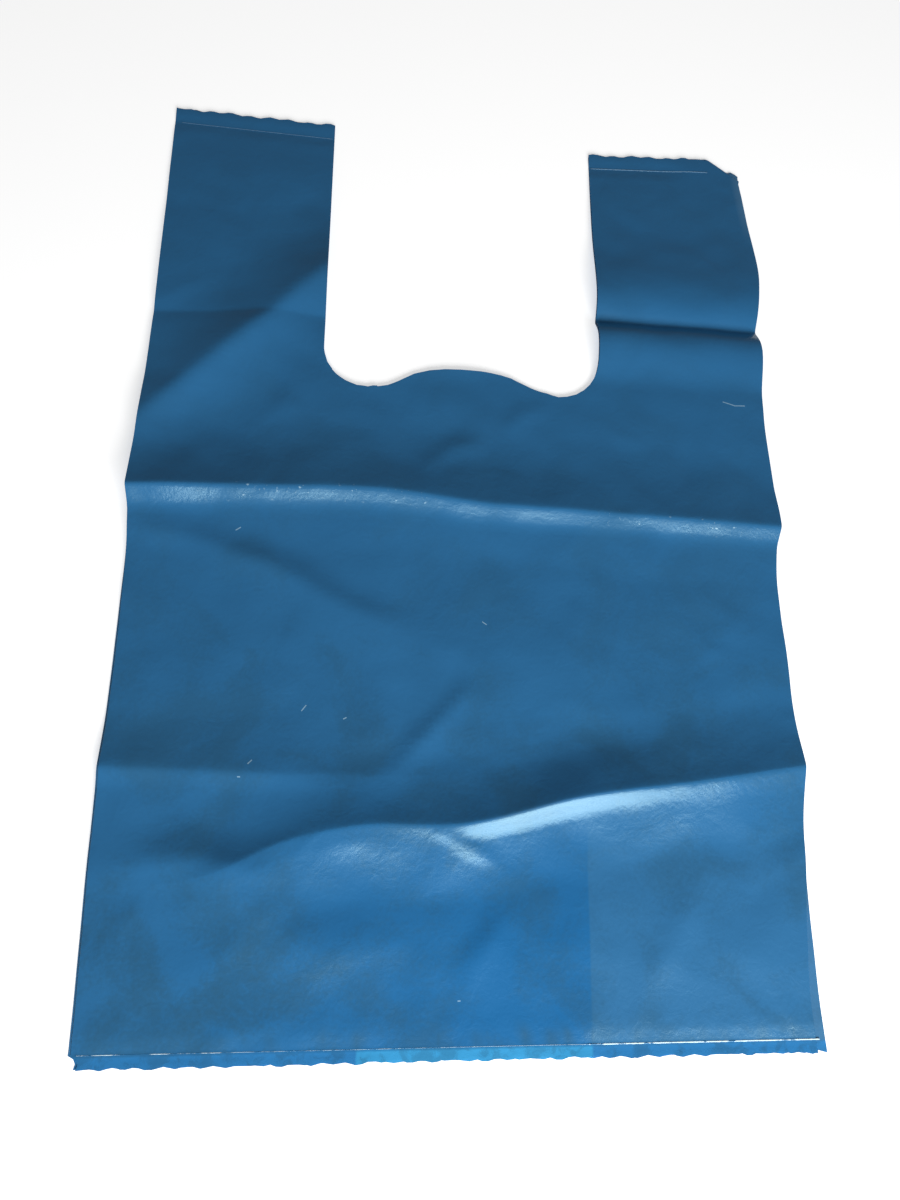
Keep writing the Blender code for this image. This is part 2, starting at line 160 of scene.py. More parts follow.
# The outline seen from above: how far the sides stand out, as (place along the bag, distance out).
LEFT_SIDE = ((-0.220, -0.0006), (-0.2166, -0.0005), (-0.2154, 0.0018), (-0.2140, 0.0018),
             (-0.205, 0.0018), (-0.150, 0.0024), (-0.060, 0.0010), (0.000, 0.0008), (0.018, 0.0015),
             (0.050, 0.0004), (0.090, -0.0004), (0.220, -0.0008))
RIGHT_SIDE = ((-0.219, -0.0004), (-0.205, -0.0014), (-0.180, -0.0023), (-0.130, -0.0023),
              (-0.104, -0.0013), (-0.080, -0.0018), (-0.060, -0.0023), (-0.005, -0.0030),
              (0.010, -0.0013), (0.030, -0.0013), (0.062, -0.0023), (0.097, -0.0021), (0.113, -0.0027),
              (0.130, -0.0012), (0.145, 0.0004), (0.180, -0.0018), (0.205, -0.0040))
SIDE_SPAN = 0.055
LEFT_TOP_EDGE = ((-0.150, 0.0010), (-0.069, -0.0015))
RIGHT_TOP_EDGE = ((0.0645, -0.0065), (0.128, -0.0035), (0.150, -0.0030))
BOTTOM_EDGE = ((-0.150, -0.0025), (0.150, -0.0002))
END_SPAN = 0.030
TOP_EDGE_FLAT, BOTTOM_EDGE_FLAT = 0.008, 0.005

# The front panel lies back from the rear one towards the bottom, by this much at each side. The spans are
# distances towards the bottom over which it does.
RIGHT_SETBACK, RIGHT_SETBACK_SPAN = 0.0042, (0.135, 0.205)
LEFT_SETBACK, LEFT_SETBACK_SPAN = 0.0010, (-0.02, 0.06)

# Layer numbers between which a shape changes from the rear half of the stack to the front half, and from
# the leaves to the front panel.
FRONT_HALF, FRONT_PANEL = (1.2, 1.8), (UPPER_LEAF, FRONT)

# A slower wave runs in the cut edges with the main one, at these shares of its depth and pitch. Both are
# shifted from layer to layer, and fade out within this share of the hem.
SLOW_WAVE_DEPTH, SLOW_WAVE_PITCH = 0.35, 2.7
WAVE_SHIFT, SLOW_WAVE_SHIFT = 0.5, 1.3
WAVE_SPAN = 0.7

# The layers are pressed to the first share at a weld, and rise by the second away from it. The front panel
# sinks between the gussets within its span. The film has a row of points this far to each side of a weld.
WELD_PRESS, WELD_RELEASE = 0.42, 0.58
WELD_PRESS_SPAN = (0.0008, 0.006)
FRONT_SINK_SPAN = 0.020
WELD_ROW_STEP = 0.0012

# Loose wrinkles reach the lowest layer by the first share, and the front by the second more.
LOOSE_BELOW, LOOSE_RISE = 0.3, 0.7
WRINKLE_END_POWER, WRINKLE_SIDE_POWER = 0.8, 2

# Soft unevenness: waves to a metre across and along the bag, and the slice of the noise. The folded one
# also leans. The shares are the level, and those of the wide, fine and folded ones.
WIDE_RUMPLE, FINE_RUMPLE, FOLDED_RUMPLE = (22.0, 26.0, 3.1), (60.0, 75.0, 7.7), (34.0, 30.0, 1.9)
FOLDED_LEAN = 12.0
RUMPLE_SHARES = (0.45, 0.45, 0.20, 0.35)

# Puckers above the bottom weld: the least and the most of each of their measures.
PUCKER_SEED = 11
PUCKER_MARGIN, PUCKER_SPACING = 0.006, (0.006, 0.020)
PUCKER_LENGTH, PUCKER_LEAN = (0.006, 0.022), (-0.006, 0.006)
PUCKER_SPREAD, PUCKER_HEIGHT, PUCKER_CREST = (0.003, 0.0055), (0.0001, 0.0005), 0.001
PUCKER_RISE = 0.012

# The hump in the mouth's edge: places from its left end, from the bag's middle and from its right end, each
# with a share of the hump's rise.
HUMP_LEFT, HUMP_MIDDLE = ((0.0, 0.0), (0.010, 0.08), (0.024, 0.72)), ((0.0, 1.0), (0.017, 0.85))
HUMP_RIGHT = ((-0.011, 0.28), (0.0, 0.0))
HUMP_STEPS = 26
CORNER_STEPS = 7

# The right handle's outer corner is turned under along a line through these two places.
CORNER_LINE = ((0.1300, 0.2162), (0.1460, 0.2045))
CORNER_RAISE = 0.00075
CORNER_PRESS = 0.55
CORNER_ROLL = 0.00010
CORNER_ROLL_GROWTH = 0.00014
CORNER_CUTS = (-0.0008, -0.0004, -0.00016, 0.0, 0.00016, 0.0004, 0.0008, 0.0020, 0.0023, 0.0026, 0.0029)
CORNER_TIP, CORNER_TIP_SPAN = 0.0025, (0.1385, 0.1430)
CORNER_ZONE, CORNER_NEAR = (0.100, 0.180), (0.016, 0.034)
CORNER_CUT_START, CORNER_CUT_END = -0.006, 0.034

# Marks for the film's material. Crests get painted glints beside the crease's line, and the lower ridge a
# painted sheen on its steep side. A strip at the right handle's side gets a painted highlight, and the
# layers behind the front one a faint painted sheen.
GLINT_OFFSET, GLINT_REACH, GLINT_Y = 0.0025, 0.0045, (-0.08, -0.04)
# Painted highlight along the right handle's outer edge: its width, and where it starts and ends along the
# bag.
EDGE_HIGHLIGHT_WIDTH, EDGE_HIGHLIGHT_START, EDGE_HIGHLIGHT_END = (0.0008, 0.0050), (0.160, 0.185), (0.2075, 0.2110)
# Painted sheen on the lower ridge's near side: its offset from the line, its reach, and where it fades in at
# the left and out at the right.
SHEEN_OFFSET, SHEEN_REACH = 0.0030, (0.0010, 0.0042)
SHEEN_LEFT, SHEEN_RIGHT = (-0.006, 0.020), (-0.078, -0.040)
# Strengths of the faint painted sheen on the layers behind the front one, the painted highlight at the right
# handle's edge, and the painted sheen on the lower ridge.
REAR_SHEEN, EDGE_HIGHLIGHT_STRENGTH, SHEEN_STRENGTH = 0.05, 0.10, 0.15
# The hem's edge, and painted shade at the puckers above the bottom weld: the pucker height that gives full
# shade, and the distances from the weld over which it fades.
HEM_EDGE, PUCKER_SHADE_HEIGHT, PUCKER_SHADE_FADE = 0.0012, 0.0004, (0.002, 0.012)

# Small scratches and caught fibres: place across and along the bag, turn, and half the length.
SCRATCHES = (
    (0.1297, 0.0714, -0.28, 0.0030),
    (0.1353, 0.0706, 0.05, 0.0028),
    (-0.1026, -0.0048, 0.60, 0.0013),
    (-0.0699, -0.0839, 0.95, 0.0016),
    (0.0079, -0.0440, -0.60, 0.0012),
    (-0.0907, -0.1071, 0.80, 0.0012),
    (-0.0948, -0.1133, 0.00, 0.0006),
    (-0.0524, -0.0879, 0.50, 0.0008),
    (-0.0028, -0.1998, 0.00, 0.0006),
)
SCRATCH_WIDTH, SCRATCH_STRENGTH = 0.0003, 0.55

# The film's colours. A pair is (from, to) for a mask that rises between the two: places across or along the
# bag where the name ends in X or Y, and values of the grain otherwise. Single numbers are strengths.
GUSSET_BLUR = 0.0006
# The first two pairs place painted light: the film is painted bluer towards the bottom, for the light that
# comes through it there.
LOW_LIGHT_Y, LOW_LIGHT_X, LAYERED_Y = (-0.09, -0.19), (-0.16, 0.02), (-0.115, -0.150)
MOTTLE, MOTTLE_Y, MOTTLE_LOW, MOTTLE_ALL = (0.44, 0.66), (0.06, -0.12), 0.34, 0.14
# Painted shade: darker patches in the lower-left corner, where the grain's mottle lies in its band, at this
# strength.
SHADE, SHADE_Y, SHADE_X, SHADE_STRENGTH = (0.38, 0.52), (-0.145, -0.185), (0.00, -0.07), 0.35
# Painted shade at the puckers above the bottom weld.
PUCKER_SHADE_STRENGTH = 0.75
# Painted glints at the crests: the fine grain's values for specks, and the mottle's for their patches.
GLINT_SPECKS, GLINT_PATCHES = (0.64, 0.73), (0.54, 0.66)
# Painted shade in the hem's pleats: the band of the coarser grain, its scale, and its strength.
PLEAT_SHADE_BAND, PLEAT_SCALE, PLEAT_SHADE_STRENGTH = (0.47, 0.58), 5.0, 0.35

# Dashes of whitened film on the bottom weld: strong from STRONG_X on, clear at the far left, from LEFT_X,
# and faint between. The handles' welds are slightly pale.
DASHES, DASH_SCALE, STRONG_DASHES = (0.44, 0.52), 6.0, (0.42, 0.46)
STRONG_X, LEFT_X, BOTTOM_Y, HANDLE_Y = (0.046, 0.052), (-0.08, -0.11), (0.0, -0.1), (0.1, 0.2)
LEFT_DASHES, ALL_DASHES, HANDLE_PALE = 0.7, 0.3, 0.16

# The crinkle of the film, as heights of its creased, small and finest grain.
CREASED_GRAIN, SMALL_GRAIN, FINE_GRAIN = 0.00055, 0.00016, 0.00004
SOFT_SHARE, FINE_SHARE = 0.8, 0.2
FILM_IOR, FILM_TINT = 1.5, (0.62, 0.95, 1.0, 1.0)

# Weld beads: their ends, cells, flatness and lumps, and how thin they are before the strong part.
WELD_END, BOTTOM_WELD_END, HANDLE_WELD_END, RIGHT_WELD_STOP = 0.003, 0.0025, 0.001, 0.1320
BEAD_CELL, BEAD_SIDES, BEAD_FLATNESS = 0.0012, 8, 0.5
BEAD_THIN, BEAD_GROWTH = 0.45, 0.55
LUMP_PITCH, LUMP_ROW, LUMP_WIDTH, LUMP_HEIGHT = 700.0, 10.0, 0.5, 0.6

# Floor and lamp.
FLOOR_REACH, FLOOR_DROP, FLOOR_ROUGHNESS, FLOOR_GLOW = 3.0, 0.0001, 0.9, 0.55
KEY_SIZE, KEY_PLACE, KEY_TARGET = (0.7, 0.45), (0.22, -0.78, 0.46), (0.0, -0.10, 0.0)

# The camera, fitted to the bag's corners in the photograph.
CAMERA_PLACE = (-0.0474, -0.1419, 0.3876)
CAMERA_TARGET = (-0.0075, -0.0334, 0.0)
CAMERA_ROLL = math.radians(21.4)
CAMERA_LENS, CAMERA_SENSOR, CAMERA_CLIP = 27.0, 36.0, 0.01


def ease(value, low, high):
    """Rise smoothly from 0 at low to 1 at high."""
    share = np.clip((value - low) / (high - low), 0.0, 1.0)
    return share * share * (3.0 - 2.0 * share)


def flowing(points, at):
    """Read a smooth line that runs through (place, value) points."""
    places, values = np.array(points, float).T
    slopes = np.gradient(values, places)
    at = np.clip(at, places[0], places[-1])
    index = np.clip(np.searchsorted(places, at) - 1, 0, len(places) - 2)
    width = places[index + 1] - places[index]
    share = (at - places[index]) / width
    back = 1.0 - share
    return ((1.0 + 2.0 * share) * back ** 2 * values[index] + share * back ** 2 * width * slopes[index]
            + (3.0 - 2.0 * share) * share ** 2 * values[index + 1]
            - share ** 2 * back * width * slopes[index + 1])


def fall(distance, reach, crest):
    """Share of the way down from a slightly rounded crest, at a distance from it."""
    return np.clip((np.sqrt(distance ** 2 + crest ** 2) - crest) / reach, 0.0, 1.0)


def crease_profile(crease, distance, share):
    """Height share of a crease at distances from its line. A ridge is steep on its near side."""
    far = fall(distance, crease.above, crease.crest)
    near = fall(distance, crease.below, crease.crest)
    if crease.kind == "valley":
        return np.where(distance > 0.0, FAR_SWELL * far * (1.0 - far) ** FAR_SWELL_POWER,
                        NEAR_SWELL * near * (1.0 - near) ** NEAR_SWELL_POWER)
    facet = 1.0 - (1.0 - fall(distance, crease.facet, crease.crest)) ** crease.bend
    steep = flowing(crease.shares, share)
    return np.where(distance > 0.0, (1.0 - far) ** FAR_SIDE_POWER,
                    steep * (1.0 - facet) + (1.0 - steep) * (1.0 - near) ** NEAR_SIDE_POWER)


def beside(points, x, y):
    """For places in plan: share of the way along a line of points, and distance to its left."""
    line = np.array(points, float)
    runs = line[1:] - line[:-1]
    lengths = np.hypot(runs[:, 0], runs[:, 1])
    passed = np.concatenate(([0.0], np.cumsum(lengths)))
    best = np.full(x.shape, np.inf)
    share = np.zeros(x.shape)
    offset = np.zeros(x.shape)
    for start, run, length, before in zip(line, runs, lengths, passed):
        away_x = x - start[0]
        away_y = y - start[1]
        part = np.clip((away_x * run[0] + away_y * run[1]) / length ** 2, 0.0, 1.0)
        distance = np.hypot(away_x - part * run[0], away_y - part * run[1])
        side = np.sign(run[0] * away_y - run[1] * away_x)
        nearer = distance < best
        best = np.where(nearer, distance, best)
        share = np.where(nearer, (before + part * length) / passed[-1], share)
        offset = np.where(nearer, distance * side, offset)
    return share, offset


def wrinkle_height(wrinkle, x, y):
    """Height that one loose wrinkle adds at places in plan. It fades towards both of its ends."""
    share, offset = beside(wrinkle.points, x, y)
    reach = np.where(offset > 0.0, wrinkle.left, wrinkle.right)
    fade = np.sin(np.pi * share) ** WRINKLE_END_POWER
    return wrinkle.height * fade * (1.0 - fall(offset, reach, wrinkle.crest)) ** WRINKLE_SIDE_POWER


def crease_height(x, y):
    """Height of the folds in quarters at places in plan."""
    share = np.clip(x / HALF, -1.0, 1.0)
    height = np.zeros(x.shape)
    for crease in CREASES:
        distance = y - crease.home - flowing(crease.line, share)
        height += flowing(crease.heights, share) * crease_profile(crease, distance, share)
    return height


def follow_creases(x, y):
    """Move points of straight rows along the bag, so that the rows run with the creases."""
    share = np.clip(x / HALF, -1.0, 1.0)
    homes = [-TOP + FLAT_END] + [crease.home for crease in CREASES] + [TOP - FLAT_END]
    shifts = [np.zeros(x.shape)] + [flowing(crease.line, share) for crease in CREASES] + [np.zeros(x.shape)]
    moved = y.copy()
    for start, end, low, high in zip(homes, homes[1:], shifts, shifts[1:]):
        part = (y - start) / (end - start)
        inside = (part > 0.0) & (part <= 1.0)
        moved = np.where(inside, y + low + (high - low) * part, moved)
    return moved


def even(start, end, step):
    """How many even cells of about this step fit between two places."""
    return max(1, math.ceil(abs(end - start) / step))


def row_places(sizes):
    """Places along the bag where the film has a row of points, close together at creases and welds."""
    fixed = [-TOP, TOP]
    for crease in CREASES:
        fixed.append(crease.home)
    for weld in (-TOP + sizes.bottom_hem, TOP - sizes.handle_hem):
        fixed += [weld - WELD_ROW_STEP, weld, weld + WELD_ROW_STEP]
    wanted = list(fixed)
    for crease in CREASES:
        wanted += [crease.home + side * step for step in CREASE_STEPS for side in (-1.0, 1.0)]
    kept = []
    for place in sorted(set(wanted)):
        if kept and place - kept[-1] < MERGE_GAP:
            if place in fixed:
                kept[-1] = place
            continue
        kept.append(place)
    places = []
    for start, end in zip(kept, kept[1:]):
        cells = even(start, end, ALONG_STEP)
        places += [start + (end - start) * cell / cells for cell in range(cells)]
    return places + [kept[-1]]


class Plan:
    """Places across the bag that the layers share."""

    def __init__(self, sizes):
        self.gap = sizes.layer_gap
        self.radius = sizes.layer_gap / 2.0
        self.side = HALF - sizes.film_thickness / 2.0 - self.radius
        self.left_fold = -HALF + sizes.left_gusset - self.radius
        self.right_fold = HALF - sizes.right_gusset + self.radius
        self.left_edge = -HALF + sizes.left_handle
        self.right_edge = HALF - sizes.right_handle
        self.stops = [-self.side, self.left_edge, self.left_fold,
                      self.right_fold, self.right_edge, self.side]


def add_run(bm, plan, start_x, end_x, layer):
    """One layer of the section between two places across the bag, with a point at each shared place."""
    stops = [stop for stop in plan.stops if start_x <= stop <= end_x]
    verts = [bm.verts.new((stop, 0.0, layer * plan.gap)) for stop in stops]
    for left, right in zip(verts, verts[1:]):
        bm.edges.new((left, right))
    return verts[0], verts[-1]


def cells_in(edge, plan):
    """Cells that one edge of the section is divided into: twice as many in front as in the layers below."""
    length = edge.calc_length()
    if min(vert.co.z for vert in edge.verts) > (FRONT - 0.1) * plan.gap:
        return 1 if length <= ACROSS_STEP else 2 * even(0.0, length, 2.0 * ACROSS_STEP)
    return 1 if length <= 2.0 * ACROSS_STEP else even(0.0, length, 2.0 * ACROSS_STEP)


def divide_runs(bm, plan):
    """Divide the section's straight runs evenly."""
    while True:
        coarse = [edge for edge in bm.edges if cells_in(edge, plan) > 1]
        if not coarse:
            return
        cells = cells_in(coarse[0], plan)
        alike = [edge for edge in coarse if cells_in(edge, plan) == cells]
        bmesh.ops.subdivide_edges(bm, edges=alike, cuts=cells - 1)


def add_fold(bm, plan, lower, upper, direction):
    """A half-round fold that joins the ends of two layers."""
    centre = (lower.co + upper.co) / 2.0
    last = lower
    for step in range(1, FOLD_STEPS):
        angle = math.pi * step / FOLD_STEPS - math.pi / 2.0
        vert = bm.verts.new((centre.x + direction * plan.radius * math.cos(angle), 0.0,
                             centre.z + plan.radius * math.sin(angle)))
        bm.edges.new((last, vert))
        last = vert
    bm.edges.new((last, upper))


def add_section(bm, plan):
    """The film's middle line across the bag: back, gussets and front, as one closed loop."""
    back = add_run(bm, plan, -plan.side, plan.side, BACK)
    right_low = add_run(bm, plan, plan.right_fold, plan.side, LOWER_LEAF)
    right_high = add_run(bm, plan, plan.right_fold, plan.side, UPPER_LEAF)
    left_low = add_run(bm, plan, -plan.side, plan.left_fold, LOWER_LEAF)
    left_high = add_run(bm, plan, -plan.side, plan.left_fold, UPPER_LEAF)
    front = add_run(bm, plan, -plan.side, plan.side, FRONT)
    add_fold(bm, plan, back[1], right_low[1], 1.0)
    add_fold(bm, plan, right_low[0], right_high[0], -1.0)
    add_fold(bm, plan, right_high[1], front[1], 1.0)
    add_fold(bm, plan, left_high[0], front[0], -1.0)
    add_fold(bm, plan, left_low[1], left_high[1], 1.0)
    add_fold(bm, plan, back[0], left_low[0], -1.0)
    divide_runs(bm, plan)


def add_tube(bm, plan, sizes):
    """Extrude the section along the bag, row by row."""
    places = row_places(sizes)
    add_section(bm, plan)
    bmesh.ops.translate(bm, verts=bm.verts[:], vec=(0.0, places[0], 0.0))
    edges = bm.edges[:]
    for start, end in zip(places, places[1:]):
        grown = bmesh.ops.extrude_edge_only(bm, edges=edges)["geom"]
        verts = [item for item in grown if isinstance(item, bmesh.types.BMVert)]
        edges = [item for item in grown if isinstance(item, bmesh.types.BMEdge)]
        bmesh.ops.translate(bm, verts=verts, vec=(0.0, end - start, 0.0))


def mouth_line(plan, sizes):
    """The mouth's lower edge as (x, y) points: a round corner, a hump and a round corner."""
    radius = sizes.corner_radius
    low = TOP - sizes.mouth_depth
    left = plan.left_edge + radius
    right = plan.right_edge - radius
    quarter = [math.pi / 2.0 * step / CORNER_STEPS for step in range(CORNER_STEPS + 1)]
    points = [(left - radius * math.cos(angle), low + radius - radius * math.sin(angle))
              for angle in quarter]
    hump = [(left + away, share) for away, share in HUMP_LEFT] + list(HUMP_MIDDLE)
    hump += [(right + away, share) for away, share in HUMP_RIGHT]
    for step in range(1, HUMP_STEPS):
        x = left + (right - left) * step / HUMP_STEPS
        points.append((x, low + sizes.hump_rise * float(flowing(hump, np.array([x]))[0])))
    for angle in quarter:
        points.append((right + radius * math.sin(angle), low + radius - radius * math.cos(angle)))
    return points


def crosses(face, start, run):
    """Whether a stretch of line in plan runs through a face."""
    length = run.length
    if (face.verts[0].co - start).length > length + 4.0 * ACROSS_STEP:
        return False
    along = [(vert.co - start).dot(run) / length for vert in face.verts]
    aside = [(vert.co - start).dot(Vector((-run.y, run.x, 0.0))) / length for vert in face.verts]
    met = []
    for index, place in enumerate(along):
        low, high = aside[index - 1], aside[index]
        if low * high < 0.0:
            met.append(along[index - 1] + (place - along[index - 1]) * low / (low - high))
        elif abs(high) < SNAP_GAP:
            met.append(place)
    return len(met) > 1 and max(met) > 0.0 and min(met) < length


def cut_along(bm, start, end):
    """Give the faces that a line in plan runs through an edge along it."""
    start = Vector((*start, 0.0))
    run = Vector((*end, 0.0)) - start
    faces = [face for face in bm.faces if crosses(face, start, run)]
    edges = list(dict.fromkeys(edge for face in faces for edge in face.edges))
    verts = list(dict.fromkeys(vert for face in faces for vert in face.verts))
    bmesh.ops.bisect_plane(bm, geom=faces + edges + verts, dist=SNAP_GAP, plane_co=start,
                           plane_no=(-run.y, run.x, 0.0))


def cut_mouth(bm, plan, sizes):
    """Cut the mouth between the handles through all the layers."""
    line = mouth_line(plan, sizes)
    for start, end in zip(line, line[1:]):
        cut_along(bm, start, end)
    xs, ys = np.array(line).T
    gone = []
    for face in bm.faces:
        centre = face.calc_center_median()
        if plan.left_edge < centre.x < plan.right_edge and centre.y > np.interp(centre.x, xs, ys):
            gone.append(face)
    bmesh.ops.delete(bm, geom=gone, context="FACES")


def corner_frame():
    """A place on the turned corner's line, the line's direction, and the way out to the corner."""
    start, end = (np.array(place) for place in CORNER_LINE)
    run = (end - start) / np.linalg.norm(end - start)
    return start, run, np.array((-run[1], run[0]))


def cut_corner(bm):
    """Give the right handle's corner the edges that it is turned along."""
    start, run, out = corner_frame()
    for shift in CORNER_CUTS:
        place = start + out * shift
        cut_along(bm, place + run * CORNER_CUT_START, place + run * CORNER_CUT_END)


def turn_corner(x, y, layer):
    """Roll the right handle's outer corner under along its line. The front layer turns widest, and the
    tip of the lower layers stays out a little further."""
    start, _, out = corner_frame()
    beyond = (x - start[0]) * out[0] + (y - start[1]) * out[1]
    tip = CORNER_TIP * ease(x, *CORNER_TIP_SPAN) * ease(-layer, -1.6, -1.4)
    near = (x > CORNER_ZONE[0]) & (y > CORNER_ZONE[1])
    radius = CORNER_ROLL + CORNER_ROLL_GROWTH * layer
    arc = np.pi * radius
    past = beyond - tip
    angle = np.clip((past + arc / 2.0) / radius, 0.0, np.pi)
    turned = tip + radius * np.sin(angle) - np.maximum(past - arc / 2.0, 0.0)
    shift = np.where(near & (past > -arc / 2.0), turned - beyond, 0.0)
    drop = np.where(near & (past > -arc / 2.0), radius * (1.0 - np.cos(angle)), 0.0)
    return x + out[0] * shift, y + out[1] * shift, drop


def near_corner(x, y):
    """How close places are to the turned corner, from 0 to 1."""
    middle = (np.array(CORNER_LINE[0]) + np.array(CORNER_LINE[1])) / 2.0
    return 1.0 - ease(np.hypot(x - middle[0], y - middle[1]), *CORNER_NEAR)


def end_shifts(x):
    """How far the handles' ends and the bottom end lie beyond the plain rectangle, across the bag."""
    top = np.where(x < 0.0, flowing(LEFT_TOP_EDGE, x), flowing(RIGHT_TOP_EDGE, x))
    return top, flowing(BOTTOM_EDGE, x)


def shape_outline(x, y, layer, sizes):
    """Move the film in plan from a plain rectangle to the bag's own outline."""
    weight_left = ease(-x, HALF - SIDE_SPAN, HALF)
    weight_right = ease(x, HALF - SIDE_SPAN, HALF)
    front_share = ease(layer, *FRONT_HALF)
    left = flowing(LEFT_SIDE, y) - LEFT_SETBACK * front_share * ease(-y, *LEFT_SETBACK_SPAN)
    right = flowing(RIGHT_SIDE, y) - RIGHT_SETBACK * front_share * ease(-y, *RIGHT_SETBACK_SPAN)
    moved_x = x - left * weight_left + right * weight_right
    top_shift, bottom_shift = end_shifts(x)
    wave = sizes.wave_depth / 2.0 * np.cos(2.0 * np.pi * x / sizes.wave_pitch + WAVE_SHIFT * layer)
    wave += SLOW_WAVE_DEPTH * sizes.wave_depth * np.cos(
        2.0 * np.pi * x / (SLOW_WAVE_PITCH * sizes.wave_pitch) + SLOW_WAVE_SHIFT * layer)
    end_wave_top = wave * ease(y, TOP - WAVE_SPAN * sizes.handle_hem, TOP)
    end_wave_bottom = wave * ease(-y, TOP - WAVE_SPAN * sizes.bottom_hem, TOP)
    moved_y = y + top_shift * ease(y, TOP - END_SPAN, TOP - TOP_EDGE_FLAT) + end_wave_top
    moved_y += bottom_shift * ease(-y, TOP - END_SPAN, TOP - BOTTOM_EDGE_FLAT) - end_wave_bottom
    return moved_x, moved_y


def stack_height(plan, sizes, x, y, layer):
    """Height of each layer in the flat bag: pressed together at the welds, and sunk between gussets."""
    inside = np.minimum(x - plan.left_fold, plan.right_fold - x)
    level = layer - 2.0 * ease(layer, *FRONT_PANEL) * ease(inside, 0.0, FRONT_SINK_SPAN)
    top_shift, bottom_shift = end_shifts(x)
    weld = np.minimum(np.abs(y + TOP - sizes.bottom_hem - bottom_shift),
                      np.abs(y - TOP + sizes.handle_hem - top_shift))
    press = np.minimum(WELD_PRESS + WELD_RELEASE * ease(weld, *WELD_PRESS_SPAN),
                       1.0 - CORNER_PRESS * near_corner(x, y))
    return sizes.film_thickness / 2.0 + level * plan.gap * press


def rumple(x, y):
    """Soft unevenness that runs all over the film, between 0 and about 1."""
    heights = np.empty(x.shape)
    level, wide_share, fine_share, folded_share = RUMPLE_SHARES
    for index, (px, py) in enumerate(zip(x, y)):
        wide, fine, folded = (
            noise.noise(Vector((px * across + py * lean, py * along, place)))
            for (across, along, place), lean in ((WIDE_RUMPLE, 0.0), (FINE_RUMPLE, 0.0),
                                                 (FOLDED_RUMPLE, FOLDED_LEAN)))
        heights[index] = level + wide_share * wide + fine_share * fine + folded_share * abs(folded)
    return heights


def weld_puckers(x, y, sizes):
    """Short upright gathers that run up from the bottom weld, at seeded places."""
    chance = random.Random(PUCKER_SEED)
    height = np.zeros(x.shape)
    low = -TOP + sizes.bottom_hem - 0.001
    place = -HALF + PUCKER_MARGIN
    while place < HALF - PUCKER_MARGIN:
        length = chance.uniform(*PUCKER_LENGTH)
        lean = chance.uniform(*PUCKER_LEAN)
        points = ((place, low - 0.003), (place + lean * 0.4, low + 0.4 * length),
                  (place + lean, low + length))
        spread = chance.uniform(*PUCKER_SPREAD)
        pucker = Wrinkle(points, chance.uniform(*PUCKER_HEIGHT), spread, spread, PUCKER_CREST)
        height += wrinkle_height(pucker, x, y)
        place += chance.uniform(*PUCKER_SPACING)
    return height


def film_heights(plan, sizes, x, y, layer):
    """Height of the film's middle at places in plan, for each layer."""
    flat_end = ease(np.minimum(TOP - y, TOP + y), FLAT_END, FULL_CREASES)
    height = stack_height(plan, sizes, x, y, layer)
    height += crease_height(x, y) * flat_end
    follow = LOOSE_BELOW + LOOSE_RISE * layer / FRONT
    loose = np.zeros(x.shape)
    for wrinkle in WRINKLES:
        loose += wrinkle_height(wrinkle, x, y)
    loose += sizes.rumple * rumple(x, y)
    height += loose * follow * flat_end
    above_weld = ease(y + TOP - sizes.bottom_hem, 0.0, PUCKER_RISE)
    height += weld_puckers(x, y, sizes) * ease(layer, *FRONT_PANEL) * above_weld
    return height + CORNER_RAISE * near_corner(x, y)


def vert_columns(bm):
    """A mesh's points as three columns of numbers."""
    return np.array([vert.co for vert in bm.verts], float).T


def place_verts(bm, x, y, z):
    """Put a mesh's points at new places."""
    for vert, place in zip(bm.verts, zip(x, y, z)):
        vert.co = place


def make_piece(name, bm):
    """Put a mesh into the scene as a smooth-shaded piece."""
    mesh = bpy.data.meshes.new(name)
    bm.to_mesh(mesh)
    bm.free()
    mesh.shade_smooth()
    piece = bpy.data.objects.new(name, mesh)
    bpy.context.scene.collection.objects.link(piece)
    return piece


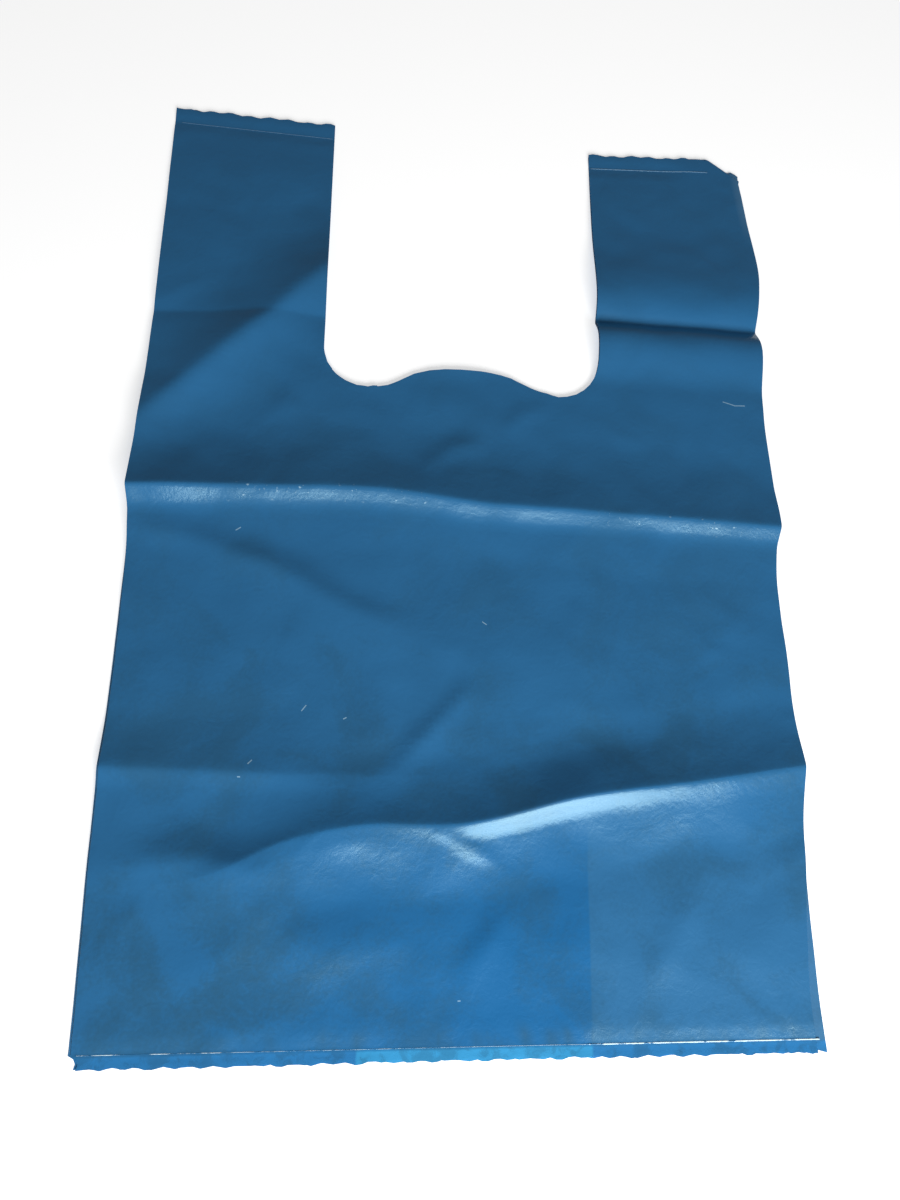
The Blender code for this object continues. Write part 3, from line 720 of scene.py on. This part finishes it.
def note_marks(bm, x, y, layer, sizes):
    """Note for the material where the film gets painted glints, painted highlights and sheen, painted shade
    at the weld's puckers, or lies in the hem.
    """
    # Painted glints along the near side of each sharp ridge's line.
    crest = np.zeros(x.shape)
    share = np.clip(x / HALF, -1.0, 1.0)
    for crease in CREASES:
        if crease.kind == "ridge" and crease.crest < GLINT_CREST:
            distance = y - crease.home - flowing(crease.line, share)
            strength = flowing(crease.heights, share) / FULL_GLINT_CREASE
            beside_line = ease(np.abs(distance + GLINT_OFFSET), 0.0, GLINT_REACH)
            crest = np.maximum(crest, strength * (1.0 - beside_line))
    crest *= ease(y, *GLINT_Y)
    # Painted highlight on the rounded right edge of the right handle; the layers behind the front one get a
    # faint painted sheen where they show.
    edge_highlight = 1.0 - ease(HALF + flowing(RIGHT_SIDE, y) - x, *EDGE_HIGHLIGHT_WIDTH)
    edge_highlight *= ease(y, *EDGE_HIGHLIGHT_START) * (1.0 - ease(y, *EDGE_HIGHLIGHT_END))
    pale = np.maximum(REAR_SHEEN * ease(-layer, -2.5, -2.2), EDGE_HIGHLIGHT_STRENGTH * edge_highlight)
    # Painted sheen: a pale band on the lower ridge's near side, standing in for the lamp's reflection.
    painted_sheen = y - CREASES[0].home - flowing(CREASES[0].line, share) + SHEEN_OFFSET
    painted_sheen = 1.0 - ease(np.abs(painted_sheen), *SHEEN_REACH)
    painted_sheen *= SHEEN_STRENGTH * ease(x, *SHEEN_LEFT) * ease(-x, *SHEEN_RIGHT)
    pale = np.maximum(pale, painted_sheen)
    from_weld = y + TOP - sizes.bottom_hem - end_shifts(x)[1]
    hem = 1.0 - ease(from_weld, -HEM_EDGE, 0.0)
    # Painted shade: dark lenses at the puckers above the bottom weld.
    pucker_shade = np.clip(weld_puckers(x, y, sizes) / PUCKER_SHADE_HEIGHT, 0.0, 1.0)
    pucker_shade *= 1.0 - ease(from_weld, *PUCKER_SHADE_FADE)
    marks = {"crest": np.clip(crest, 0.0, 1.0), "pale": pale, "hem": hem, "pucker_shade": pucker_shade}
    for name, values in marks.items():
        mark = bm.verts.layers.float.new(name)
        for vert, value in zip(bm.verts, values):
            vert[mark] = value


def make_film_mesh(sizes):
    """The whole sheet of film: tube, mouth, outline, heights and turned corner."""
    plan = Plan(sizes)
    bm = bmesh.new()
    add_tube(bm, plan, sizes)
    x, y, z = vert_columns(bm)
    x, y = shape_outline(x, follow_creases(x, y), z / plan.gap, sizes)
    place_verts(bm, x, y, z)
    cut_mouth(bm, plan, sizes)
    cut_corner(bm)
    x, y, z = vert_columns(bm)
    layer = z / plan.gap
    height = film_heights(plan, sizes, x, y, layer)
    note_marks(bm, x, y, layer, sizes)
    x, y, drop = turn_corner(x, y, layer)
    place_verts(bm, x, y, np.maximum(height - drop, sizes.film_thickness / 2.0))
    bmesh.ops.recalc_face_normals(bm, faces=bm.faces[:])
    return bm


def add_node(tree, kind, settings=None, **values):
    """Add a shader node with its settings and input values."""
    made = tree.nodes.new(kind)
    for name, value in (settings or {}).items():
        setattr(made, name, value)
    for name, value in values.items():
        made.inputs[name.replace("_", " ")].default_value = value
    return made


def combine(tree, operation, first, second):
    """Join two values, each a socket or a number, with one operation of arithmetic."""
    made = add_node(tree, "ShaderNodeMath", {"operation": operation})
    for index, value in enumerate((first, second)):
        if isinstance(value, (int, float)):
            made.inputs[index].default_value = value
        else:
            tree.links.new(value, made.inputs[index])
    return made.outputs[0]


def multiply(tree, first, second):
    """Multiply two values, each a socket or a number."""
    return combine(tree, "MULTIPLY", first, second)


def band(tree, value, low, high):
    """A mask that rises smoothly from 0 at low to 1 at high, or falls where low is the larger."""
    made = add_node(tree, "ShaderNodeMapRange", {"interpolation_type": "SMOOTHSTEP"},
                    From_Min=low, From_Max=high)
    tree.links.new(value, made.inputs["Value"])
    return made.outputs[0]


def blend_colour(tree, mask, base, colour):
    """Mix a colour over a base, each a socket or a colour, by a mask."""
    made = add_node(tree, "ShaderNodeMix", {"data_type": "RGBA"})
    tree.links.new(mask, made.inputs["Factor"])
    for name, value in (("A", base), ("B", colour)):
        socket = [item for item in made.inputs if item.name == name and item.type == "RGBA"][0]
        if isinstance(value, bpy.types.NodeSocket):
            tree.links.new(value, socket)
        else:
            socket.default_value = (*value, 1.0)
    return [item for item in made.outputs if item.type == "RGBA"][0]


def grain_group():
    """Film grain: a soft mottle and fine specks for colour, and the height of its crinkle in metres."""
    tree = bpy.data.node_groups.new("film_grain", "ShaderNodeTree")
    for name, kind in (("Vector", "NodeSocketVector"), ("Scale", "NodeSocketFloat")):
        tree.interface.new_socket(name, in_out="INPUT", socket_type=kind)
    for name in ("Mottle", "Specks", "Height"):
        tree.interface.new_socket(name, in_out="OUTPUT", socket_type="NodeSocketFloat")
    entry = tree.nodes.new("NodeGroupInput")
    leave = tree.nodes.new("NodeGroupOutput")
    soft = add_node(tree, "ShaderNodeTexNoise", Scale=26.0, Detail=4.0, Roughness=0.55, Distortion=0.7)
    creased = add_node(tree, "ShaderNodeTexNoise", {"noise_type": "RIDGED_MULTIFRACTAL"},
                       Scale=30.0, Detail=3.0, Roughness=0.5, Distortion=0.8)
    crinkle = add_node(tree, "ShaderNodeTexNoise", Scale=150.0, Detail=4.0, Roughness=0.6, Distortion=0.6)
    fine = add_node(tree, "ShaderNodeTexNoise", Scale=620.0, Detail=2.0, Roughness=0.5)
    scaled = add_node(tree, "ShaderNodeVectorMath", {"operation": "SCALE"})
    tree.links.new(entry.outputs["Vector"], scaled.inputs[0])
    tree.links.new(entry.outputs["Scale"], scaled.inputs["Scale"])
    for texture in (soft, creased, crinkle, fine):
        tree.links.new(scaled.outputs[0], texture.inputs["Vector"])
    speckled = combine(tree, "ADD", multiply(tree, soft.outputs["Fac"], SOFT_SHARE),
                       multiply(tree, fine.outputs["Fac"], FINE_SHARE))
    height = multiply(tree, creased.outputs["Fac"], CREASED_GRAIN)
    for texture, size in ((crinkle, SMALL_GRAIN), (fine, FINE_GRAIN)):
        height = combine(tree, "ADD", height, multiply(tree, texture.outputs["Fac"], size))
    tree.links.new(speckled, leave.inputs["Mottle"])
    tree.links.new(fine.outputs["Fac"], leave.inputs["Specks"])
    tree.links.new(height, leave.inputs["Height"])
    return tree


def shared_group(name, maker):
    """A node group by name, made the first time that it is asked for."""
    return bpy.data.node_groups.get(name) or maker()


def add_group(tree, group):
    """Place a node group in a material."""
    made = tree.nodes.new("ShaderNodeGroup")
    made.node_tree = group
    return made


def add_grain(tree, coordinates, scale):
    """Place the film's grain in a material."""
    grain = add_group(tree, shared_group("film_grain", grain_group))
    grain.inputs["Scale"].default_value = scale
    tree.links.new(coordinates, grain.inputs["Vector"])
    return grain


def read_mark(tree, name):
    """One of the marks that the film's mesh carries."""
    return add_node(tree, "ShaderNodeAttribute", {"attribute_name": name}).outputs["Fac"]


def split_place(tree, coordinates):
    """A place's X and Y."""
    split = tree.nodes.new("ShaderNodeSeparateXYZ")
    tree.links.new(coordinates, split.inputs[0])
    return split.outputs["X"], split.outputs["Y"]


def start_material(name, finish):
    """A material with its Principled shader, and the piece's own coordinates."""
    material = bpy.data.materials.new(name)
    material.use_nodes = True
    tree = material.node_tree
    shader = tree.nodes["Principled BSDF"]
    shader.inputs["Roughness"].default_value = finish.roughness
    shader.inputs["Metallic"].default_value = 0.0
    shader.inputs["IOR"].default_value = FILM_IOR
    shader.inputs["Specular Tint"].default_value = FILM_TINT
    coordinates = tree.nodes.new("ShaderNodeTexCoord").outputs["Object"]
    return material, tree, shader, coordinates


def scratch_group():
    """One short straight scratch, as a mask round a place in plan."""
    tree = bpy.data.node_groups.new("scratch", "ShaderNodeTree")
    for name, kind in (("Vector", "NodeSocketVector"), ("Place", "NodeSocketVector"),
                       ("Run", "NodeSocketVector"), ("Half Length", "NodeSocketFloat")):
        tree.interface.new_socket(name, in_out="INPUT", socket_type=kind)
    tree.interface.new_socket("Mask", in_out="OUTPUT", socket_type="NodeSocketFloat")
    entry = tree.nodes.new("NodeGroupInput")
    leave = tree.nodes.new("NodeGroupOutput")
    away = add_node(tree, "ShaderNodeVectorMath", {"operation": "SUBTRACT"})
    aside = add_node(tree, "ShaderNodeVectorMath", {"operation": "CROSS_PRODUCT"})
    aside.inputs[1].default_value = (0.0, 0.0, 1.0)
    tree.links.new(entry.outputs["Vector"], away.inputs[0])
    tree.links.new(entry.outputs["Place"], away.inputs[1])
    tree.links.new(entry.outputs["Run"], aside.inputs[0])
    spans = []
    for direction in (entry.outputs["Run"], aside.outputs[0]):
        part = add_node(tree, "ShaderNodeVectorMath", {"operation": "DOT_PRODUCT"})
        tree.links.new(away.outputs[0], part.inputs[0])
        tree.links.new(direction, part.inputs[1])
        spans.append(combine(tree, "ABSOLUTE", part.outputs["Value"], 0.0))
    along = combine(tree, "LESS_THAN", spans[0], entry.outputs["Half Length"])
    across = band(tree, spans[1], SCRATCH_WIDTH, 0.4 * SCRATCH_WIDTH)
    tree.links.new(multiply(tree, along, across), leave.inputs["Mask"])
    return tree


def add_scratches(tree, coordinates):
    """A mask of the film's small scratches and caught fibres."""
    mask = 0.0
    for x, y, turn, half_length in SCRATCHES:
        scratch = add_group(tree, shared_group("scratch", scratch_group))
        scratch.inputs["Place"].default_value = (x, y, 0.0)
        scratch.inputs["Run"].default_value = (math.cos(turn), math.sin(turn), 0.0)
        scratch.inputs["Half Length"].default_value = half_length
        tree.links.new(coordinates, scratch.inputs["Vector"])
        mask = combine(tree, "MAXIMUM", scratch.outputs["Mask"], mask)
    return multiply(tree, mask, SCRATCH_STRENGTH)


def film_material(finish, plan):
    """Blue film: painted bluer towards the bottom for the light through it, mottled, with painted shade,
    painted glints, highlights and sheen, and bright in the hem.
    """
    material, tree, shader, coordinates = start_material("blue_film", finish)
    x, y = split_place(tree, coordinates)
    grain = add_grain(tree, coordinates, 1.0)
    left, right = (band(tree, x, fold - GUSSET_BLUR, fold + GUSSET_BLUR)
                   for fold in (plan.left_fold, plan.right_fold))
    # Painted light: the film is painted bluer towards the bottom, for the light that comes through it there.
    lower = multiply(tree, band(tree, y, *LOW_LIGHT_Y), band(tree, x, *LOW_LIGHT_X))
    colour = blend_colour(tree, lower, finish.film_colour, finish.low_light_colour)
    layered = multiply(tree, right, band(tree, y, *LAYERED_Y))
    colour = blend_colour(tree, layered, colour, finish.layered_colour)
    strength = combine(tree, "ADD", multiply(tree, band(tree, y, *MOTTLE_Y), MOTTLE_LOW), MOTTLE_ALL)
    mottle = multiply(tree, band(tree, grain.outputs["Mottle"], *MOTTLE), strength)
    # Painted shade: darker patches of the mottle in the lower-left corner.
    corner = multiply(tree, band(tree, y, *SHADE_Y), band(tree, x, *SHADE_X))
    corner = multiply(tree, corner, band(tree, grain.outputs["Mottle"], *SHADE))
    mottle = combine(tree, "ADD", mottle, multiply(tree, corner, SHADE_STRENGTH))
    # Painted shade at the puckers above the bottom weld.
    pucker_shade = multiply(tree, read_mark(tree, "pucker_shade"), PUCKER_SHADE_STRENGTH)
    mottle = combine(tree, "MAXIMUM", mottle, pucker_shade)
    # Darker by the random mottle, and by the painted shade in the lower-left corner and at the weld's
    # puckers.
    colour = blend_colour(tree, mottle, colour, finish.mottle_and_shade_colour)
    # Painted glints: pale specks along the sharp crests, in patches.
    specks = multiply(tree, band(tree, grain.outputs["Specks"], *GLINT_SPECKS), read_mark(tree, "crest"))
    specks = multiply(tree, specks, band(tree, grain.outputs["Mottle"], *GLINT_PATCHES))
    # Pale over the painted glints, the painted highlight and sheen, and the real scratches and caught
    # fibres.
    for mask in (specks, read_mark(tree, "pale"), add_scratches(tree, coordinates)):
        colour = blend_colour(tree, mask, colour, finish.highlight_and_scratch_colour)
    single = combine(tree, "SUBTRACT", left, right)
    hem_colour = blend_colour(tree, single, finish.hem_colour, finish.hem_middle_colour)
    # Painted shade in the hem's pleats.
    pleats = add_grain(tree, coordinates, PLEAT_SCALE)
    pleat_shade = multiply(tree, band(tree, pleats.outputs["Mottle"], *PLEAT_SHADE_BAND), PLEAT_SHADE_STRENGTH)
    hem_colour = blend_colour(tree, pleat_shade, hem_colour, finish.mottle_and_shade_colour)
    colour = blend_colour(tree, read_mark(tree, "hem"), colour, hem_colour)
    tree.links.new(colour, shader.inputs["Base Color"])
    bump = add_node(tree, "ShaderNodeBump", Strength=1.0, Distance=1.0)
    tree.links.new(grain.outputs["Height"], bump.inputs["Height"])
    tree.links.new(bump.outputs["Normal"], shader.inputs["Normal"])
    return material


def weld_material(finish):
    """Film whitened by the welding bar, in dashes."""
    material, tree, shader, coordinates = start_material("weld_line", finish)
    grain = add_grain(tree, coordinates, DASH_SCALE)
    x, y = split_place(tree, coordinates)
    left = combine(tree, "ADD", multiply(tree, band(tree, x, *LEFT_X), LEFT_DASHES), ALL_DASHES)
    dashes = multiply(tree, band(tree, grain.outputs["Mottle"], *DASHES), left)
    strong = multiply(tree, band(tree, x, *STRONG_X), band(tree, grain.outputs["Mottle"], *STRONG_DASHES))
    pale = multiply(tree, combine(tree, "MAXIMUM", strong, dashes), band(tree, y, *BOTTOM_Y))
    pale = combine(tree, "ADD", pale, multiply(tree, band(tree, y, *HANDLE_Y), HANDLE_PALE))
    colour = blend_colour(tree, pale, finish.film_colour, finish.weld_colour)
    tree.links.new(colour, shader.inputs["Base Color"])
    return material


def dress(piece, material):
    """Give a piece its material and its place on the bag's one body."""
    piece.data.materials.append(material)
    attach(piece, "root")


def add_bead(bm, sizes, start_x, end_x, row):
    """A fine bead of melted film along one weld, as a flattened rod laid on the front layer."""
    ring = bmesh.ops.create_circle(bm, segments=BEAD_SIDES, radius=sizes.bead_width / 2.0,
                                   cap_ends=True)["verts"]
    turn = Quaternion((0.0, 1.0, 0.0), math.pi / 2.0).to_matrix()
    end_faces = [ring[0].link_faces[0]]
    bmesh.ops.rotate(bm, verts=ring, cent=(0.0, 0.0, 0.0), matrix=turn)
    bmesh.ops.scale(bm, verts=ring, vec=(1.0, 1.0, BEAD_FLATNESS))
    bmesh.ops.translate(bm, verts=ring, vec=(start_x, row, 0.0))
    cells = even(start_x, end_x, BEAD_CELL)
    for cell in range(cells):
        grown = bmesh.ops.extrude_face_region(bm, geom=end_faces)["geom"]
        verts = [item for item in grown if isinstance(item, bmesh.types.BMVert)]
        if cell:
            bmesh.ops.delete(bm, geom=end_faces, context="FACES_ONLY")
        end_faces = [item for item in grown if isinstance(item, bmesh.types.BMFace)]
        bmesh.ops.translate(bm, verts=verts, vec=((end_x - start_x) / cells, 0.0, 0.0))


def make_weld(name, sizes, start_x, end_x, row):
    """One weld bead, following the bag's outline and the height of the film below it."""
    plan = Plan(sizes)
    bm = bmesh.new()
    add_bead(bm, sizes, start_x, end_x, row)
    x, y, z = vert_columns(bm)
    layer = np.full(x.shape, float(FRONT))
    lumps = np.array([noise.noise(Vector((px * LUMP_PITCH, 0.0, row * LUMP_ROW))) for px in x])
    strong = BEAD_THIN + BEAD_GROWTH * ease(x, *STRONG_X)
    across = (y - row) * (1.0 + LUMP_WIDTH * lumps) * strong
    z = z * strong
    x, y = shape_outline(x, np.full(x.shape, row), np.full(x.shape, float(BACK)), sizes)
    height = film_heights(plan, sizes, x, y, layer) + sizes.film_thickness / 2.0
    place_verts(bm, x, y + across, height + z * (1.0 + LUMP_HEIGHT * lumps))
    bmesh.ops.recalc_face_normals(bm, faces=bm.faces[:])
    return make_piece(name, bm)


class CarrierBagSizes(bpy.types.PropertyGroup):
    """Sizes of the bag and its film."""

    film_thickness: FloatProperty(
        name="Film", description="Thickness of the film", default=0.00008, unit="LENGTH", precision=5)
    layer_gap: FloatProperty(
        name="Layer Gap", description="Distance between the middles of two layers",
        default=0.00035, unit="LENGTH", precision=5)
    left_gusset: FloatProperty(
        name="Left Gusset", description="Depth of the left gusset", default=0.107, unit="LENGTH")
    right_gusset: FloatProperty(
        name="Right Gusset", description="Depth of the right gusset", default=0.099, unit="LENGTH")
    left_handle: FloatProperty(
        name="Left Handle", description="Width of the left handle", default=0.081, unit="LENGTH")
    right_handle: FloatProperty(
        name="Right Handle", description="Width of the right handle", default=0.0855, unit="LENGTH")
    mouth_depth: FloatProperty(
        name="Mouth Depth", description="Depth of the mouth below the handles' tops",
        default=0.150, unit="LENGTH")
    corner_radius: FloatProperty(
        name="Mouth Corner", description="Radius of the mouth's lower corners",
        default=0.020, unit="LENGTH")
    hump_rise: FloatProperty(
        name="Hump", description="Rise of the mouth's edge in the middle", default=0.0113, unit="LENGTH")
    bottom_hem: FloatProperty(
        name="Bottom Hem", description="Film beyond the bottom weld", default=0.0047, unit="LENGTH")
    handle_hem: FloatProperty(
        name="Handle Hem", description="Film beyond the handles' welds", default=0.0080, unit="LENGTH")
    wave_pitch: FloatProperty(
        name="Wave Pitch", description="Length of one wave of the cut edges", default=0.010, unit="LENGTH")
    wave_depth: FloatProperty(
        name="Wave Depth", description="Depth of the cut edges' waves", default=0.0010, unit="LENGTH")
    bead_width: FloatProperty(
        name="Bead", description="Width of a weld's bead", default=0.0006, unit="LENGTH", precision=5)
    rumple: FloatProperty(
        name="Rumple", description="Height of the soft unevenness", default=0.0018, unit="LENGTH")


class CarrierBagFinish(bpy.types.PropertyGroup):
    """Colours and gloss of the film."""

    film_colour: FloatVectorProperty(
        name="Film", description="Colour of the film", subtype="COLOR", default=(0.023, 0.139, 0.314))
    layered_colour: FloatVectorProperty(
        name="Layered Film", description="Colour over the right gusset", subtype="COLOR",
        default=(0.028, 0.150, 0.330))
    # Painted light: the film's colour towards the bottom, bluer for the light that comes through it there.
    low_light_colour: FloatVectorProperty(
        name="Lower Film", description="Colour of the film towards the bottom", subtype="COLOR",
        default=(0.012, 0.136, 0.350))
    # Used for the painted glints on crests, the painted highlight and sheen, and the real scratches and
    # caught fibres.
    highlight_and_scratch_colour: FloatVectorProperty(
        name="Pale Film", description="Colour of whitened crests and thin edges", subtype="COLOR",
        default=(0.420, 0.640, 0.780))
    # Colour of the random mottle, also used for painted shade in the lower-left corner, at the weld's
    # puckers and in the hem's pleats.
    mottle_and_shade_colour: FloatVectorProperty(
        name="Mottle", description="Colour of the film's darker patches", subtype="COLOR",
        default=(0.022, 0.095, 0.180))
    hem_colour: FloatVectorProperty(
        name="Hem", description="Colour of the bottom hem", subtype="COLOR", default=(0.028, 0.205, 0.490))
    hem_middle_colour: FloatVectorProperty(
        name="Hem Middle", description="Colour of the hem where two layers meet", subtype="COLOR",
        default=(0.042, 0.320, 0.630))
    weld_colour: FloatVectorProperty(
        name="Weld", description="Colour of whitened film", subtype="COLOR", default=(0.600, 0.760, 0.850))
    roughness: FloatProperty(
        name="Roughness", description="Dullness of the film", default=0.27, subtype="FACTOR")


class CarrierBagStudio(bpy.types.PropertyGroup):
    """Floor and light round the bag."""

    floor_colour: FloatVectorProperty(
        name="Floor", description="Colour of the floor", subtype="COLOR", default=(0.80, 0.80, 0.80))
    key_power: FloatProperty(
        name="Key Light", description="Power of the main soft light", default=12.2, unit="POWER")
    sky: FloatProperty(
        name="Sky", description="Brightness of the surroundings", default=0.17)


class CARRIERBAG_OT_film(bpy.types.Operator):
    """Make the bag's film with its creases"""

    bl_idname = "carrier_bag.film"
    bl_label = "Make Film"

    def execute(self, context):
        sizes = context.scene.carrier_bag_sizes
        film = make_piece("film", make_film_mesh(sizes))
        wall = film.modifiers.new("film_wall", "SOLIDIFY")
        wall.thickness = sizes.film_thickness
        wall.offset = 0.0
        wall.use_even_offset = False
        shading = film.modifiers.new("film_shading", "WEIGHTED_NORMAL")
        shading.weight = 100
        dress(film, film_material(context.scene.carrier_bag_finish, Plan(sizes)))
        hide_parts(NODE)
        return {"FINISHED"}


class CARRIERBAG_OT_welds(bpy.types.Operator):
    bl_idname = "carrier_bag.welds"
    bl_label = "Make Welds"

    def execute(self, context):
        sizes = context.scene.carrier_bag_sizes
        plan = Plan(sizes)
        material = weld_material(context.scene.carrier_bag_finish)
        bottom_row = -TOP + sizes.bottom_hem
        handle_row = TOP - sizes.handle_hem
        left_end = -plan.side + WELD_END
        welds = [
            make_weld("bottom_weld", sizes, left_end, plan.side - BOTTOM_WELD_END, bottom_row),
            make_weld("left_handle_weld", sizes, left_end, plan.left_edge - HANDLE_WELD_END, handle_row),
            make_weld("right_handle_weld", sizes, plan.right_edge + HANDLE_WELD_END, RIGHT_WELD_STOP,
                      handle_row),
        ]
        for weld in welds:
            dress(weld, material)
        return {"FINISHED"}


class CARRIERBAG_OT_studio(bpy.types.Operator):
    """Make the floor, the soft light and the camera"""

    bl_idname = "carrier_bag.studio"
    bl_label = "Make Studio"

    def execute(self, context):
        scene = context.scene
        studio = scene.carrier_bag_studio
        bm = bmesh.new()
        bmesh.ops.create_grid(bm, x_segments=1, y_segments=1, size=FLOOR_REACH)
        bmesh.ops.translate(bm, verts=bm.verts[:], vec=(0.0, 0.0, -FLOOR_DROP))
        floor = make_piece("floor", bm)
        material = bpy.data.materials.new("studio_floor")
        material.use_nodes = True
        shader = material.node_tree.nodes["Principled BSDF"]
        shader.inputs["Base Color"].default_value = (*studio.floor_colour, 1.0)
        shader.inputs["Roughness"].default_value = FLOOR_ROUGHNESS
        shader.inputs["Emission Color"].default_value = (1.0, 1.0, 1.0, 1.0)
        shader.inputs["Emission Strength"].default_value = FLOOR_GLOW
        floor.data.materials.append(material)
        world = bpy.data.worlds.new("studio_sky")
        world.use_nodes = True
        sky = world.node_tree.nodes["Background"]
        sky.inputs["Color"].default_value = (1.0, 1.0, 1.0, 1.0)
        sky.inputs["Strength"].default_value = studio.sky
        scene.world = world
        key = bpy.data.lights.new("key", "AREA")
        key.shape = "RECTANGLE"
        key.size, key.size_y = KEY_SIZE
        key.energy = studio.key_power
        lamp = bpy.data.objects.new("key", key)
        lamp.location = KEY_PLACE
        aim = Vector(KEY_TARGET) - lamp.location
        lamp.rotation_euler = aim.to_track_quat("-Z", "Y").to_euler()
        scene.collection.objects.link(lamp)
        lens = bpy.data.cameras.new("camera")
        lens.lens = CAMERA_LENS
        lens.sensor_width = CAMERA_SENSOR
        lens.clip_start = CAMERA_CLIP
        camera = bpy.data.objects.new("camera", lens)
        camera.location = CAMERA_PLACE
        gaze = (Vector(CAMERA_TARGET) - Vector(CAMERA_PLACE)).to_track_quat("-Z", "Y")
        camera.rotation_mode = "QUATERNION"
        camera.rotation_quaternion = gaze @ Quaternion((0.0, 0.0, 1.0), CAMERA_ROLL)
        scene.collection.objects.link(camera)
        scene.camera = camera
        scene.view_settings.view_transform = "Standard"
        return {"FINISHED"}


class CARRIERBAG_PT_panel(bpy.types.Panel):
    """Lists what the add-on makes"""

    bl_idname = "CARRIERBAG_PT_panel"
    bl_label = "Carrier Bag"
    bl_space_type = "VIEW_3D"
    bl_region_type = "UI"
    bl_category = "Carrier Bag"

    def draw(self, context):
        for operator in OPERATORS:
            self.layout.operator(operator.bl_idname)
        for group in GROUPS:
            values = getattr(context.scene, GROUPS[group])
            box = self.layout.box()
            for name in group.__annotations__:
                box.prop(values, name)


GROUPS = {
    CarrierBagSizes: "carrier_bag_sizes",
    CarrierBagFinish: "carrier_bag_finish",
    CarrierBagStudio: "carrier_bag_studio",
}
OPERATORS = (CARRIERBAG_OT_film, CARRIERBAG_OT_welds, CARRIERBAG_OT_studio)


def register():
    """Register the classes and put the settings on the scene."""
    for item in (*GROUPS, *OPERATORS, CARRIERBAG_PT_panel):
        bpy.utils.register_class(item)
    for group, name in GROUPS.items():
        setattr(bpy.types.Scene, name, PointerProperty(type=group))


def unregister():
    """Take the settings off the scene and unregister the classes."""
    for name in GROUPS.values():
        delattr(bpy.types.Scene, name)
    for item in reversed((*GROUPS, *OPERATORS, CARRIERBAG_PT_panel)):
        bpy.utils.unregister_class(item)


def main():
    """Make the bag and its studio."""
    register()
    bpy.ops.carrier_bag.film()
    bpy.ops.carrier_bag.welds()
    bpy.ops.carrier_bag.studio()


if __name__ == "__main__":
    main()
